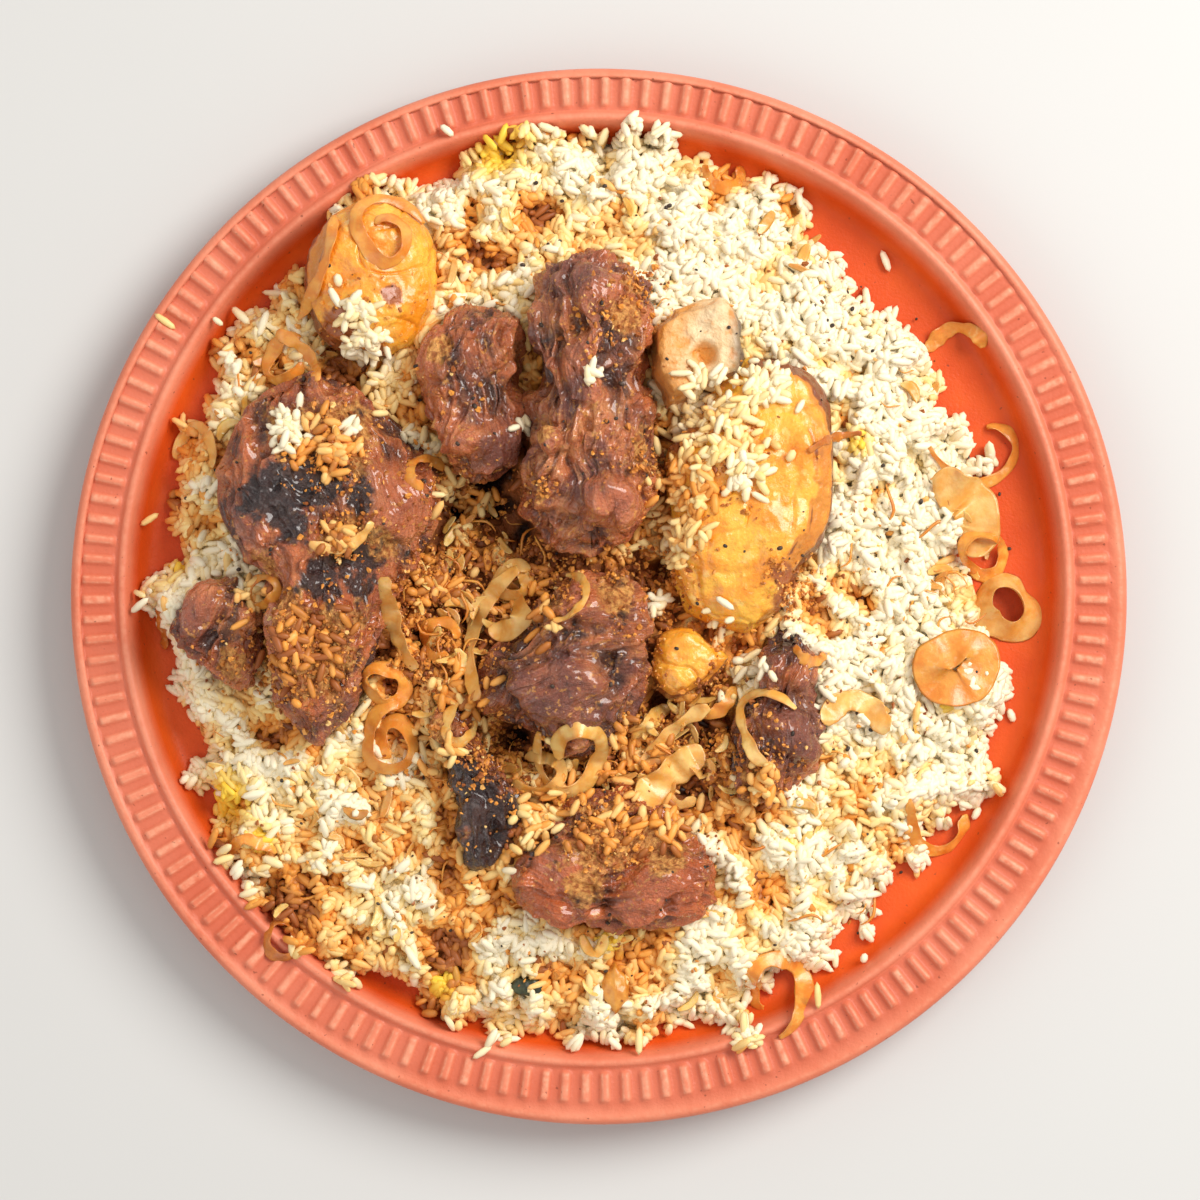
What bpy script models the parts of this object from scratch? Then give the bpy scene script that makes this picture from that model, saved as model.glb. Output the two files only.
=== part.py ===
"""Biryani heaped on a round clay plate with a fluted rim.

Units are metres and +Z is up. The origin is the middle of the plate's flat underside.
Every soft piece is a closed skin: rings of points from a bottom pole to a top pole.
"""
import math

import bpy
import numpy as np
from mathutils import Vector
from mathutils.bvhtree import BVHTree

MM = 0.001

# Plate
PLATE_RADIUS = 150 * MM
FOOT_RADIUS = 104 * MM
FLOOR_Z = 8 * MM
BAND_OUTER = 146.3 * MM
BAND_INNER = 136.4 * MM
RIB_COUNT = 156
RIB_HEIGHT = 1.5 * MM
PLATE_SECTORS = RIB_COUNT // 2
WELL_MIDDLE = (-1.0 * MM, 2.0 * MM)

# Rice
GAP = 0.4 * MM
RICE_CROWN_Z = 27 * MM
RICE_EDGE_Z = 16 * MM
RICE_FOOT_RADIUS = 126.0 * MM
RICE_SECTORS = 72
RICE_RINGS = 13
# How far the rice spreads from the middle of the well, every 15 degrees from +X, in mm
RICE_SPREAD = (107, 115, 117, 120, 122, 128, 131, 131, 131, 130, 128.5, 126.5,
               124, 125, 127, 128, 130.5, 129, 129.5, 130, 126, 122, 120.5, 124)

# Pieces of meat, potato and bone, in mm: middle x and y, height of the widest girth,
# height above it, depth below it, and how far the girth reaches in equal turns from +X
MEAT = {
    "meat_left": (-81.5, 12.6, 31, 17, 8,
                  (33.5, 42.5, 44, 50, 41, 30, 20, 15, 23.5, 54, 37, 26.5)),
    "meat_low_left": (-107, -9, 28, 10, 7,
                      (11.5, 12.5, 16, 14.5, 12, 12.5, 14.5, 12, 11.5, 15, 18, 12)),
    "meat_flank": (-35.5, 56, 31, 15, 8,
                   (14, 15, 25.5, 26, 21.5, 16, 14, 13.5, 17, 24.5, 23, 15.5)),
    "meat_main": (-1.4, 53.5, 34, 21, 10,
                  (17, 15, 34, 43, 35, 18, 19, 19.5, 37, 42.5, 33, 19.5)),
    "meat_centre": (-7.7, -18, 31, 17, 8,
                    (21.5, 26, 29, 22, 20, 18, 26, 28, 23.5, 27.5, 25.5, 23)),
    "meat_bottom": (2.3, -76, 28, 14, 7,
                    (30, 24.5, 22.5, 19, 22, 20.5, 27.5, 24.5, 17.5, 18, 20.5, 28.5)),
    "meat_strip": (-35.5, -52, 27, 10, 6,
                   (10, 8.5, 8.5, 16, 25, 7.5, 7, 6.5, 8.5, 24, 19.5, 15.5)),
    "meat_right": (50.3, -32.8, 29, 11, 7,
                   (12.5, 10.5, 20.5, 27, 10.5, 10.5, 13, 16.5, 24, 24.5, 18, 13)),
}
BONE = {
    "bone": (27.6, 69, 33, 12, 8, (13.5, 15, 14.5, 13, 14, 11.5, 12, 14.5, 17, 11.5, 11, 12)),
}
POTATO = {
    "potato_large": (42.9, 27.4, 29, 16, 8,
                     (22.5, 26, 37.5, 38.5, 28.5, 27, 23, 25, 35.5, 37, 25, 22.5)),
    "potato_small": (26.4, -17.2, 29, 8, 6,
                     (10, 7, 6, 7.5, 9, 10, 9.5, 11.5, 12, 8.5, 8, 8.5)),
    "potato_back": (-64.5, 90.5, 27, 14, 8,
                    (18, 19, 20.5, 21, 19.5, 18, 18, 20, 22, 22, 22, 20.5)),
}
BITS = {
    "pod": (-20.5, -110.5, 20, 3, 3, (5.5, 3.5, 2.8, 4, 5.5, 3.5, 2.8, 4)),
    "raisin": (92.5, -34.5, 19, 3.4, 3, (3.2, 3.6, 4.6, 3.6, 3, 3.6, 4.6, 3.4)),
    "orange_chunk": (4.5, -111, 19.5, 3.6, 3.4, (4, 5, 7.5, 4.6, 4, 4.8, 7.5, 5)),
}

# Curls of fried onion, in mm and degrees: middle x and y, first and last radius,
# first angle, turn, width. A full turn at one radius closes into a ring.
CURLS = {
    "onion_edge_arc": (100.5, 66.5, 9.5, 9.5, 150, -125, 3.4),
    "onion_hook": (109.5, 45, 17, 4.5, 190, 240, 2.8),
    "onion_slab": (98, 22, 10, 10, 100, -150, 6.5),
    "onion_loop": (109.5, 12, 5.8, 5.8, 0, 360, 2.8),
    "onion_boat": (116.5, -3, 8, 8, 0, 360, 4.2),
    "onion_round": (101, -20, 7.5, 7.5, 0, 360, 6.5),
    "onion_tail": (99, -61.5, 14, 6, 160, 190, 2.8),
    "onion_foot": (49, -112, 12, 5, 280, 330, 3.6),
    "onion_rim_ring": (-90, -97.5, 4.5, 4.5, 0, 360, 2.4),
    "onion_small_ring": (-60, -25, 5, 5, 0, 360, 3),
    "onion_nest": (-58, -41, 10, 3, 80, 540, 2.6),
    "onion_centre_curl": (-27, -6, 6, 5, 120, -230, 2.5),
    "onion_thin_curl": (-11.5, 0, 7, 7, 70, -170, 2.2),
    "onion_fan": (-7, -43.5, 11, 9, 150, 200, 5),
    "onion_right_curl": (48, -37, 9.5, 8.5, 40, 230, 2.6),
    "onion_left_ring": (-94, 1.5, 4, 4, 0, 360, 2.2),
    "onion_swirl": (-59, 101, 11, 3.5, 20, 480, 3),
    "onion_top_curl": (35.5, 122, 6, 5, 170, 200, 3),
    "onion_left_curl": (-114.5, 40.5, 7, 6, 190, -230, 3),
    "onion_wide_arc": (73, -41.5, 10.5, 10.5, 150, -130, 5),
}
# Strips of fried onion, in mm: x and y of both ends, bow to the left, width
STRIPS = {
    "onion_twist": (-59.5, 5.5, -51.5, -20.5, -2, 3),
    "onion_long": (-22.5, 8, -34, -29, -7, 3.2),
    "onion_strip_upper": (9.5, -41, 20, -31, 1, 2.8),
    "onion_strip_lower": (12, -48, 31, -31, 2, 2.8),
    "onion_broad": (11.5, -58, 29.5, -43.5, 1, 6.5),
    "onion_thin_left": (-80, 14.5, -62.5, 20.5, -4, 2.6),
    "onion_drape": (-74, 106.5, -85, 78, 3, 3),
    "onion_low_drape": (-91, 74, -78.5, 60, 3, 3),
    "onion_fine_right": (58, 40, 74, 46, 1.5, 2.2),
    "onion_rim_left": (-126, -3, -124.5, -15, 1, 2.4),
}
ONION_THICKNESS = 1.4 * MM
STATION_SPACING = 5 * MM
RIBBON_GAP = 0.6 * MM
STEEPEST_DROP = 3 * MM

COLOURS = {
    "clay": ((0.66, 0.16, 0.045), 0.55),
    "rice": ((0.82, 0.70, 0.45), 0.60),
    "meat": ((0.17, 0.045, 0.02), 0.40),
    "bone": ((0.52, 0.27, 0.10), 0.50),
    "potato": ((0.66, 0.26, 0.02), 0.35),
    "onion": ((0.60, 0.25, 0.04), 0.40),
    "pod": ((0.03, 0.04, 0.015), 0.60),
    "raisin": ((0.25, 0.05, 0.01), 0.35),
    "peel": ((0.62, 0.22, 0.02), 0.40),
}


def clear_scene():
    for obj in list(bpy.data.objects):
        bpy.data.objects.remove(obj, do_unlink=True)


def material(name):
    """The Principled material of one food or of the clay."""
    colour, roughness = COLOURS[name]
    mat = bpy.data.materials.get(name) or bpy.data.materials.new(name)
    mat.use_nodes = True
    shader = mat.node_tree.nodes["Principled BSDF"]
    shader.inputs["Base Color"].default_value = (*colour, 1.0)
    shader.inputs["Roughness"].default_value = roughness
    shader.inputs["Metallic"].default_value = 0.0
    return mat


def band(lower, upper):
    """Faces between two rings of point numbers, where one count divides the other.

    Equal rings give quads; otherwise each coarse edge is fanned to its share of fine edges.
    """
    n_low = len(lower)
    n_up = len(upper)
    if n_low == n_up:
        return [(lower[i], lower[(i + 1) % n_low], upper[(i + 1) % n_up], upper[i])
                for i in range(n_low)]
    faces = []
    coarse = min(n_low, n_up)
    step = max(n_low, n_up) // coarse
    half = step // 2
    for i in range(coarse):
        after = (i + 1) % coarse
        for j in range(step):
            near = i if j < half else after
            this = i * step + j
            following = (this + 1) % (coarse * step)
            if n_up > n_low:
                faces.append((lower[near], upper[following], upper[this]))
            else:
                faces.append((lower[this], lower[following], upper[near]))
        middle = i * step + half
        if n_up > n_low:
            faces.append((lower[i], lower[after], upper[middle]))
        else:
            faces.append((lower[middle], upper[after], upper[i]))
    return faces


def skin(name, rings, bottom, top, food):
    """A closed body from rings of points, bottom to top, with a pole at each end."""
    points = [np.asarray(bottom, float)[None, :]] + [np.asarray(r, float) for r in rings]
    points.append(np.asarray(top, float)[None, :])
    numbers = []
    first = 0
    for ring in points:
        numbers.append(list(range(first, first + len(ring))))
        first += len(ring)
    low = numbers[1]
    high = numbers[-2]
    faces = [(0, low[(i + 1) % len(low)], low[i]) for i in range(len(low))]
    for lower, upper in zip(numbers[1:-2], numbers[2:-1]):
        faces += band(lower, upper)
    faces += [(high[i], high[(i + 1) % len(high)], first - 1) for i in range(len(high))]
    return add_mesh(name, np.vstack(points), faces, food)


def add_mesh(name, points, faces, food):
    """A mesh object in which each four-sided face is split along its first diagonal."""
    triangles = []
    for face in faces:
        triangles += [(face[0], face[k], face[k + 1]) for k in range(1, len(face) - 1)]
    mesh = bpy.data.meshes.new(name)
    mesh.from_pydata([tuple(p) for p in points], [], triangles)
    mesh.materials.append(material(food))
    mesh.shade_smooth()
    mesh.set_sharp_from_angle(angle=math.radians(40))
    obj = bpy.data.objects.new(name, mesh)
    bpy.context.collection.objects.link(obj)
    return obj


def circle(count):
    angle = np.arange(count) * 2 * math.pi / count
    return np.cos(angle), np.sin(angle)


def through(values, count):
    """A closed Catmull-Rom curve through equally spaced values, read at count places."""
    values = np.asarray(values, float)
    place = np.arange(count) * len(values) / count
    cell = np.floor(place).astype(int)
    f = place - cell
    a, b, c, d = (values[(cell + k) % len(values)] for k in (-1, 0, 1, 2))
    return b + 0.5 * f * (c - a + f * (2 * a - 5 * b + 4 * c - d + f * (3 * (b - c) + d - a)))


def waves(x, y, length, seed):
    """A gently uneven field between about -1 and 1: four crossed sine waves of one length."""
    rng = np.random.default_rng(seed)
    total = 0.0
    for turn in np.arange(4) * math.pi / 4 + rng.uniform(0, math.pi / 4, 4):
        along = x * math.cos(turn) + y * math.sin(turn)
        total = total + np.sin(2 * math.pi * along / length + rng.uniform(0, 2 * math.pi))
    return total / 3


# Inner wall of the well, from the floor's edge up to the bead: radius and height
WALL = ((126.2, 8.0), (128.6, 8.9), (130.2, 11.2), (132.6, 17.6), (134.0, 19.4), (135.4, 19.4))


def plate_ring(radius, height, count=PLATE_SECTORS, middle=(0.0, 0.0)):
    x, y = circle(count)
    return np.column_stack((middle[0] + radius * x, middle[1] + radius * y,
                            np.broadcast_to(height, count)))


def make_plate():
    """A turned dish: flat foot, flared underside, round edge, fluted band, bead and flat well."""
    fine = RIB_COUNT * 2
    crest = np.where(np.arange(fine) % 2 == 0, RIB_HEIGHT, 0.0)
    outside = ((FOOT_RADIUS / MM, 0), (112, 2.4), (136, 9.6), (146, 12.8),
               (149.5, 15.0), (PLATE_RADIUS / MM, 17.2), (149.0, 19.2), (147.6, 19.6))
    rings = [plate_ring(r * MM, z * MM) for r, z in outside]
    rings.append(plate_ring(BAND_OUTER, 18.8 * MM, middle=WELL_MIDDLE))
    rings.append(plate_ring(BAND_OUTER - 1.2 * MM, 19.2 * MM + crest, fine, WELL_MIDDLE))
    rings.append(plate_ring(BAND_INNER + 1.2 * MM, 18.4 * MM + crest, fine, WELL_MIDDLE))
    rings.append(plate_ring(BAND_INNER, 18.0 * MM, middle=WELL_MIDDLE))
    for radius, height in reversed(WALL):
        rings.append(plate_ring(radius * MM, height * MM, middle=WELL_MIDDLE))
    return skin("plate", rings, (0, 0, 0), (*WELL_MIDDLE, FLOOR_Z), "clay")


def make_lump(name, spec, food, sides, levels, lobes, seed=1):
    """A plump closed piece: its girth curve shrinks with the cosine of the level's angle,
    its height follows the sine, and lobes raise and lower the upper skin."""
    x0, y0, mid, up, down, girth = spec
    reach = through(girth, sides)
    cos_a, sin_a = circle(sides)
    rings = []
    for level in np.radians(np.linspace(-90, 90, levels + 2)[1:-1]):
        size = reach * math.cos(level) ** 0.6
        x = x0 + size * cos_a
        y = y0 + size * sin_a
        rise = math.sin(level)
        z = mid + (up if rise > 0 else down) * rise
        if rise > 0:
            z = z + lobes * up * rise * waves(x, y, 24, seed)
        rings.append(np.column_stack((x, y, np.broadcast_to(z, sides))) * MM)
    bottom = np.array((x0, y0, mid - down)) * MM
    top = np.array((x0, y0, mid + up)) * MM
    return skin(name, rings, bottom, top, food)


def rice_height(x, y, share):
    """Height of the heap: a low dome from its edge to its crown, with soft mounds on it.
    share is 0 in the middle and 1 at the edge."""
    dome = (1 - share ** 2.4) ** 0.85
    mounds = waves(x, y, 38 * MM, 5) * 1.6 * MM * (1 - share ** 6)
    return RICE_EDGE_Z + (RICE_CROWN_Z - RICE_EDGE_Z) * dome + mounds


def make_rice():
    """The heap of rice: its foot inside the well, a bulging side and an uneven dome."""
    spread = through(RICE_SPREAD, RICE_SECTORS) * MM
    cos_a, sin_a = circle(RICE_SECTORS)
    wall = np.array(WALL) * MM
    side_z = np.maximum(12 * MM, np.interp(spread, wall[:, 0], wall[:, 1]) + 1.5 * MM)
    foot = np.minimum(spread - 1 * MM, RICE_FOOT_RADIUS)

    def ring(radius, height):
        x = WELL_MIDDLE[0] + radius * cos_a
        y = WELL_MIDDLE[1] + radius * sin_a
        return np.column_stack((x, y, np.broadcast_to(height, RICE_SECTORS)))

    rings = [ring(foot, FLOOR_Z + GAP), ring(spread, side_z)]
    shares = np.linspace(0.97, 0, RICE_RINGS + 1)[:-1]
    for share in shares:
        radius = spread * share
        level = ring(radius, 0.0)
        level[:, 2] = rice_height(level[:, 0], level[:, 1], share)
        rings.append(level)
    bottom = (*WELL_MIDDLE, FLOOR_Z + GAP)
    top = (*WELL_MIDDLE, RICE_CROWN_Z)
    return skin("rice", rings, bottom, top, "rice")


def surface(obj):
    return BVHTree.FromPolygons([v.co for v in obj.data.vertices],
                                [tuple(p.vertices) for p in obj.data.polygons])


def press_into_rice(rice, pieces):
    """Lowers the rice wherever a piece lies lower than it, until every piece has its socket."""
    up = Vector((0, 0, 1))
    seats = []
    for piece in pieces:
        tree = surface(piece)
        corners = [v.co for v in piece.data.vertices]
        xs = np.arange(min(c.x for c in corners), max(c.x for c in corners), 1.5 * MM)
        ys = np.arange(min(c.y for c in corners), max(c.y for c in corners), 1.5 * MM)
        for x in xs:
            for y in ys:
                hit = tree.ray_cast(Vector((x, y, -1)), up)[0]
                if hit is not None:
                    seats.append((x, y, hit.z - 2 * GAP))
    for _ in range(12):
        tree = surface(rice)
        lowered = False
        for x, y, seat in seats:
            hit, _, face, _ = tree.ray_cast(Vector((x, y, 1)), -up)
            if hit is None or hit.z <= seat:
                continue
            lowered = True
            for number in rice.data.polygons[face].vertices:
                point = rice.data.vertices[number].co
                point.z = min(point.z, max(point.z - (hit.z - seat), FLOOR_Z + 3 * MM))
        rice.data.update()
        if not lowered:
            break


class Ground:
    """What a curl can lie on: the highest skin under a place."""

    def __init__(self, pieces):
        self.trees = [surface(piece) for piece in pieces]

    def add(self, piece):
        self.trees.append(surface(piece))

    def height(self, x, y):
        best = 0.0
        for tree in self.trees:
            hit = tree.ray_cast(Vector((x, y, 1)), Vector((0, 0, -1)))[0]
            if hit is not None:
                best = max(best, hit.z)
        return best


def lay_ribbon(name, path, width, closed, ground):
    """A flat, stiff ribbon along a plan path. Both ends of a span lie above all the ground
    under it, and no span drops by more than STEEPEST_DROP."""
    path = np.asarray(path) * MM
    count = len(path)
    if closed:
        along = np.roll(path, -1, 0) - np.roll(path, 1, 0)
        spans = [(i, (i + 1) % count) for i in range(count)]
        half = np.full(count, width * MM / 2)
    else:
        along = np.gradient(path, axis=0)
        spans = [(i, i + 1) for i in range(count - 1)]
        half = width * MM / 2 * (1 - 0.45 * np.abs(np.linspace(-1, 1, count)) ** 4)
    along /= np.linalg.norm(along, axis=1)[:, None]
    left = np.column_stack((-along[:, 1], along[:, 0]))
    height = np.zeros(count)
    for i, j in spans:
        highest = 0.0
        for f in np.linspace(0, 1, 11):
            for side in np.linspace(-1, 1, 7):
                spot = (1 - f) * (path[i] + side * half[i] * left[i])
                spot += f * (path[j] + side * half[j] * left[j])
                highest = max(highest, ground.height(*spot))
        height[i] = max(height[i], highest + RIBBON_GAP)
        height[j] = max(height[j], highest + RIBBON_GAP)
    for _ in range(count):
        for i, j in spans:
            height[i] = max(height[i], height[j] - STEEPEST_DROP)
            height[j] = max(height[j], height[i] - STEEPEST_DROP)
    points = []
    for i in range(count):
        for side, rise in ((-1, 0), (1, 0), (1, ONION_THICKNESS), (-1, ONION_THICKNESS)):
            x, y = path[i] + side * half[i] * left[i]
            points.append((x, y, height[i] + rise))
    faces = []
    for i, j in spans:
        for k in range(4):
            m = (k + 1) % 4
            faces.append((4 * i + k, 4 * i + m, 4 * j + m, 4 * j + k))
    if not closed:
        last = 4 * (count - 1)
        faces.append((3, 2, 1, 0))
        faces.append((last, last + 1, last + 2, last + 3))
    obj = add_mesh(name, np.array(points), faces, "onion")
    ground.add(obj)
    return obj


def make_onions(ground):
    for name, (x, y, first, last, start, turn, width) in CURLS.items():
        closed = turn == 360 and first == last
        length = math.radians(abs(turn)) * (first + last) / 2
        count = max(6, round(length * MM / STATION_SPACING)) + (2 if closed else 1)
        share = np.arange(count) / (count if closed else count - 1)
        angle = np.radians(start + turn * share)
        radius = first + (last - first) * share
        path = np.column_stack((x + radius * np.cos(angle), y + radius * np.sin(angle)))
        lay_ribbon(name, path, width, closed, ground)
    for name, (x0, y0, x1, y1, bow, width) in STRIPS.items():
        length = math.hypot(x1 - x0, y1 - y0)
        count = max(4, round(length * MM / STATION_SPACING) + 1)
        share = np.linspace(0, 1, count)
        off = bow * 4 * share * (1 - share) / length
        path = np.column_stack((x0 + (x1 - x0) * share - (y1 - y0) * off,
                                y0 + (y1 - y0) * share + (x1 - x0) * off))
        lay_ribbon(name, path, width, False, ground)


def main():
    clear_scene()
    plate = make_plate()
    rice = make_rice()
    pieces = [make_lump(name, spec, "meat", 24, 6, 0.28, seed)
              for seed, (name, spec) in enumerate(MEAT.items())]
    pieces += [make_lump(n, s, "bone", 12, 4, 0.12) for n, s in BONE.items()]
    pieces += [make_lump(n, s, "potato", 24, 5, 0.10) for n, s in POTATO.items()]
    for (name, spec), food in zip(BITS.items(), ("pod", "raisin", "peel")):
        pieces.append(make_lump(name, spec, food, 8, 3, 0.0))
    press_into_rice(rice, pieces)
    make_onions(Ground([plate, rice] + pieces))


main()
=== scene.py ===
import math

import bpy
import numpy as np
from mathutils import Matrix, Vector


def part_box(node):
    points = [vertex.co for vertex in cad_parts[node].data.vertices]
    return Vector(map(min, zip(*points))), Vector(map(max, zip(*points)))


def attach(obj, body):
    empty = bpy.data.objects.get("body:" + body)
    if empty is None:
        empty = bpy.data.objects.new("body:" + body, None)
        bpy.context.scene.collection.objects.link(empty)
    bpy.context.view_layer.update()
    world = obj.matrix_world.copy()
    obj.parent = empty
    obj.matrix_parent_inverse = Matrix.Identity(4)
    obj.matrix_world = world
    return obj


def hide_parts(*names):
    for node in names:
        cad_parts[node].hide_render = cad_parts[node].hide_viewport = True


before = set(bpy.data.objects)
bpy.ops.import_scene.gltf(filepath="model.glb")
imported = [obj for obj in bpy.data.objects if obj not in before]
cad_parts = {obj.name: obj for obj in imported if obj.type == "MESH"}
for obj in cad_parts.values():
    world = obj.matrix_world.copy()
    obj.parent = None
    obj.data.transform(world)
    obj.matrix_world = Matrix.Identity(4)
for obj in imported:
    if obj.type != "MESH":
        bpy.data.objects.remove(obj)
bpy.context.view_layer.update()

MM = 0.001

# ---------------------------------------------------------------------------------------
# Number fields
# ---------------------------------------------------------------------------------------


def lattice(cell, seed):
    """A fixed random number between -1 and 1 for each whole-number cell of space."""
    c = cell.astype(np.int64).astype(np.uint32)
    h = c[..., 0] * np.uint32(374761393) + c[..., 1] * np.uint32(668265263)
    h = h + c[..., 2] * np.uint32(2246822519) + np.uint32(seed * 3266489917 % 4294967296)
    h = (h ^ (h >> np.uint32(13))) * np.uint32(1274126177)
    h = h ^ (h >> np.uint32(16))
    return (h & np.uint32(65535)).astype(float) / 32767.5 - 1


def noise(points, size, seed):
    """Random numbers on a cubic lattice of the given size, blended smoothly between corners."""
    p = points / np.asarray(size, float)
    cell = np.floor(p)
    f = p - cell
    f = f * f * (3 - 2 * f)
    total = 0.0
    for corner in np.ndindex(2, 2, 2):
        weight = np.prod(np.where(np.array(corner) == 1, f, 1 - f), axis=-1)
        total = total + weight * lattice(cell + np.array(corner), seed)
    return total


def cloud(points, size, seed, layers=3):
    """Noise in layers, each half as large and half as strong as the one before."""
    total = 0.0
    for k in range(layers):
        total = total + noise(points, np.asarray(size, float) / 2 ** k, seed + 17 * k) / 2 ** k
    return total


def noise_vector(points, size, seeds):
    """Three separate noises of one size, as a vector for each point."""
    return np.stack([noise(points, size, seed) for seed in seeds], -1)


def smooth(low, high, value):
    """0 below low, 1 above high, and an even S-curve between; reversed where high is the less."""
    f = np.clip((value - low) / (high - low), 0, 1)
    return f * f * (3 - 2 * f)


def flat(x, y):
    """Places on the plate as points of space at height zero."""
    return np.stack((x, y, np.zeros_like(x)), -1)


def spots(x, y, circles):
    """The strongest of several round soft spots, each given as x, y and radius in mm: full to
    half its radius and gone at one and a half."""
    best = np.zeros_like(x)
    for cx, cy, radius in circles:
        away = np.hypot(x - cx * MM, y - cy * MM) / (radius * MM)
        best = np.maximum(best, np.clip(1.5 - away, 0, 1))
    return best


# ---------------------------------------------------------------------------------------
# Meshes
# ---------------------------------------------------------------------------------------


def finish_piece(name, points, quads, triangles, material, nodes=(), fields=None):
    """Puts whole arrays of points and faces into one smooth mesh that rides on the root."""
    mesh = bpy.data.meshes.new(name)
    corners = np.concatenate((np.ravel(quads), np.ravel(triangles))).astype(np.int32)
    counts = np.concatenate((np.full(len(quads), 4), np.full(len(triangles), 3)))
    mesh.vertices.add(len(points))
    mesh.vertices.foreach_set("co", np.asarray(points, np.float32).ravel())
    mesh.loops.add(len(corners))
    mesh.loops.foreach_set("vertex_index", corners)
    mesh.polygons.add(len(counts))
    mesh.polygons.foreach_set("loop_start", (np.cumsum(counts) - counts).astype(np.int32))
    mesh.polygons.foreach_set("loop_total", counts.astype(np.int32))
    mesh.update(calc_edges=True)
    mesh.validate()
    mesh.shade_smooth()
    for field, values in (fields or {}).items():
        layer = mesh.attributes.new(field, "FLOAT", "POINT")
        layer.data.foreach_set("value", np.asarray(values, np.float32).ravel())
    mesh.materials.append(material)
    piece = bpy.data.objects.new(name, mesh)
    bpy.context.collection.objects.link(piece)
    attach(piece, "root")
    if nodes:
        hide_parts(*nodes)
    return piece


def skin_faces(rows, columns, first=0):
    """Faces of a grid closed round its columns, with the two poles numbered after the grid."""
    index = first + np.arange(rows * columns).reshape(rows, columns)
    low, high = index[:-1], index[1:]
    quads = np.stack((low, np.roll(low, -1, 1), np.roll(high, -1, 1), high), -1).reshape(-1, 4)
    pole = first + rows * columns
    start, end = index[0], index[-1]
    bottom = np.stack((np.full(columns, pole), np.roll(start, -1), start), -1)
    top = np.stack((end, np.roll(end, -1), np.full(columns, pole + 1)), -1)
    return quads, np.vstack((bottom, top))


def grid_normals(grid):
    """Outward normals of a closed grid: the cross product of its two directions."""
    across = np.roll(grid, -1, 1) - np.roll(grid, 1, 1)
    along = np.gradient(grid, axis=0)
    normal = np.cross(across, along)
    return normal / np.maximum(np.linalg.norm(normal, axis=-1, keepdims=True), 1e-12)


# ---------------------------------------------------------------------------------------
# Materials
# ---------------------------------------------------------------------------------------


class Flow:
    """A socket that arithmetic can be written on; each operation adds its Math node."""

    def __init__(self, recipe, socket):
        self.recipe = recipe
        self.socket = socket

    def math(self, operation, *values):
        """One Math node on these values."""
        return self.recipe.node("ShaderNodeMath", {"operation": operation}, dict(enumerate(values)))

    def __add__(self, other):
        return self.math("ADD", self, other)

    def __sub__(self, other):
        return self.math("SUBTRACT", self, other)

    def __rsub__(self, other):
        return self.math("SUBTRACT", other, self)

    def __mul__(self, other):
        return self.math("MULTIPLY", self, other)

    __radd__ = __add__
    __rmul__ = __mul__

    def step(self, low, high):
        """0 below low, 1 above high, smooth between."""
        return self.recipe.node("ShaderNodeMapRange", {"interpolation_type": "SMOOTHSTEP"},
                                {0: self, 1: low, 2: high, 3: 0.0, 4: 1.0})


class Recipe:
    """One material: its nodes and its Principled shader."""

    ROUGHNESS = 0.55  # how strong the small features of a grain are beside its large ones

    def __init__(self, name, **constants):
        self.material = bpy.data.materials.new(name)
        self.material.use_nodes = True
        self.tree = self.material.node_tree
        self.shader = self.tree.nodes["Principled BSDF"]
        for socket, value in constants.items():
            self.shader.inputs[socket.replace("_", " ")].default_value = value
        self.place = self.node("ShaderNodeTexCoord", out="Object")

    def node(self, kind, settings=None, values=None, out=0):
        """Adds a node: its settings first, then its sockets' values or links."""
        node = self.tree.nodes.new(kind)
        for key, value in (settings or {}).items():
            setattr(node, key, value)
        for key, value in (values or {}).items():
            self.feed(node.inputs[key], value)
        return Flow(self, node.outputs[out])

    def feed(self, socket, value):
        """Links or sets one socket; a colour of three numbers is given full opacity."""
        if isinstance(value, Flow):
            self.tree.links.new(value.socket, socket)
        elif socket.type == "RGBA" and len(value) == 3:
            socket.default_value = (*value, 1.0)
        else:
            socket.default_value = value

    def grain(self, size, detail=4.0):
        """Noise between 0 and 1 whose features are about size metres across."""
        return self.node("ShaderNodeTexNoise", None,
                         {"Vector": self.place, "Scale": 1 / size, "Detail": detail,
                          "Roughness": self.ROUGHNESS})

    def field(self, name):
        """A number that the mesh carries at each of its points."""
        return self.node("ShaderNodeAttribute", {"attribute_name": name}, out="Fac")

    def mix(self, factor, a, b):
        """A colour between a and b."""
        return self.node("ShaderNodeMix", {"data_type": "RGBA"}, {0: factor, 6: a, 7: b}, out=2)

    def bump(self, height, depth, strength=1.0):
        """Fine relief in the shading: a height, and how many metres deep a height of 1 is."""
        bump = self.node("ShaderNodeBump", None,
                         {"Height": height, "Distance": depth, "Strength": strength})
        self.tree.links.new(bump.socket, self.shader.inputs["Normal"])

    def set(self, **values):
        """Feeds the shader's sockets and gives back the finished material."""
        for socket, value in values.items():
            self.feed(self.shader.inputs[socket.replace("_", " ")], value)
        return self.material


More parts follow.
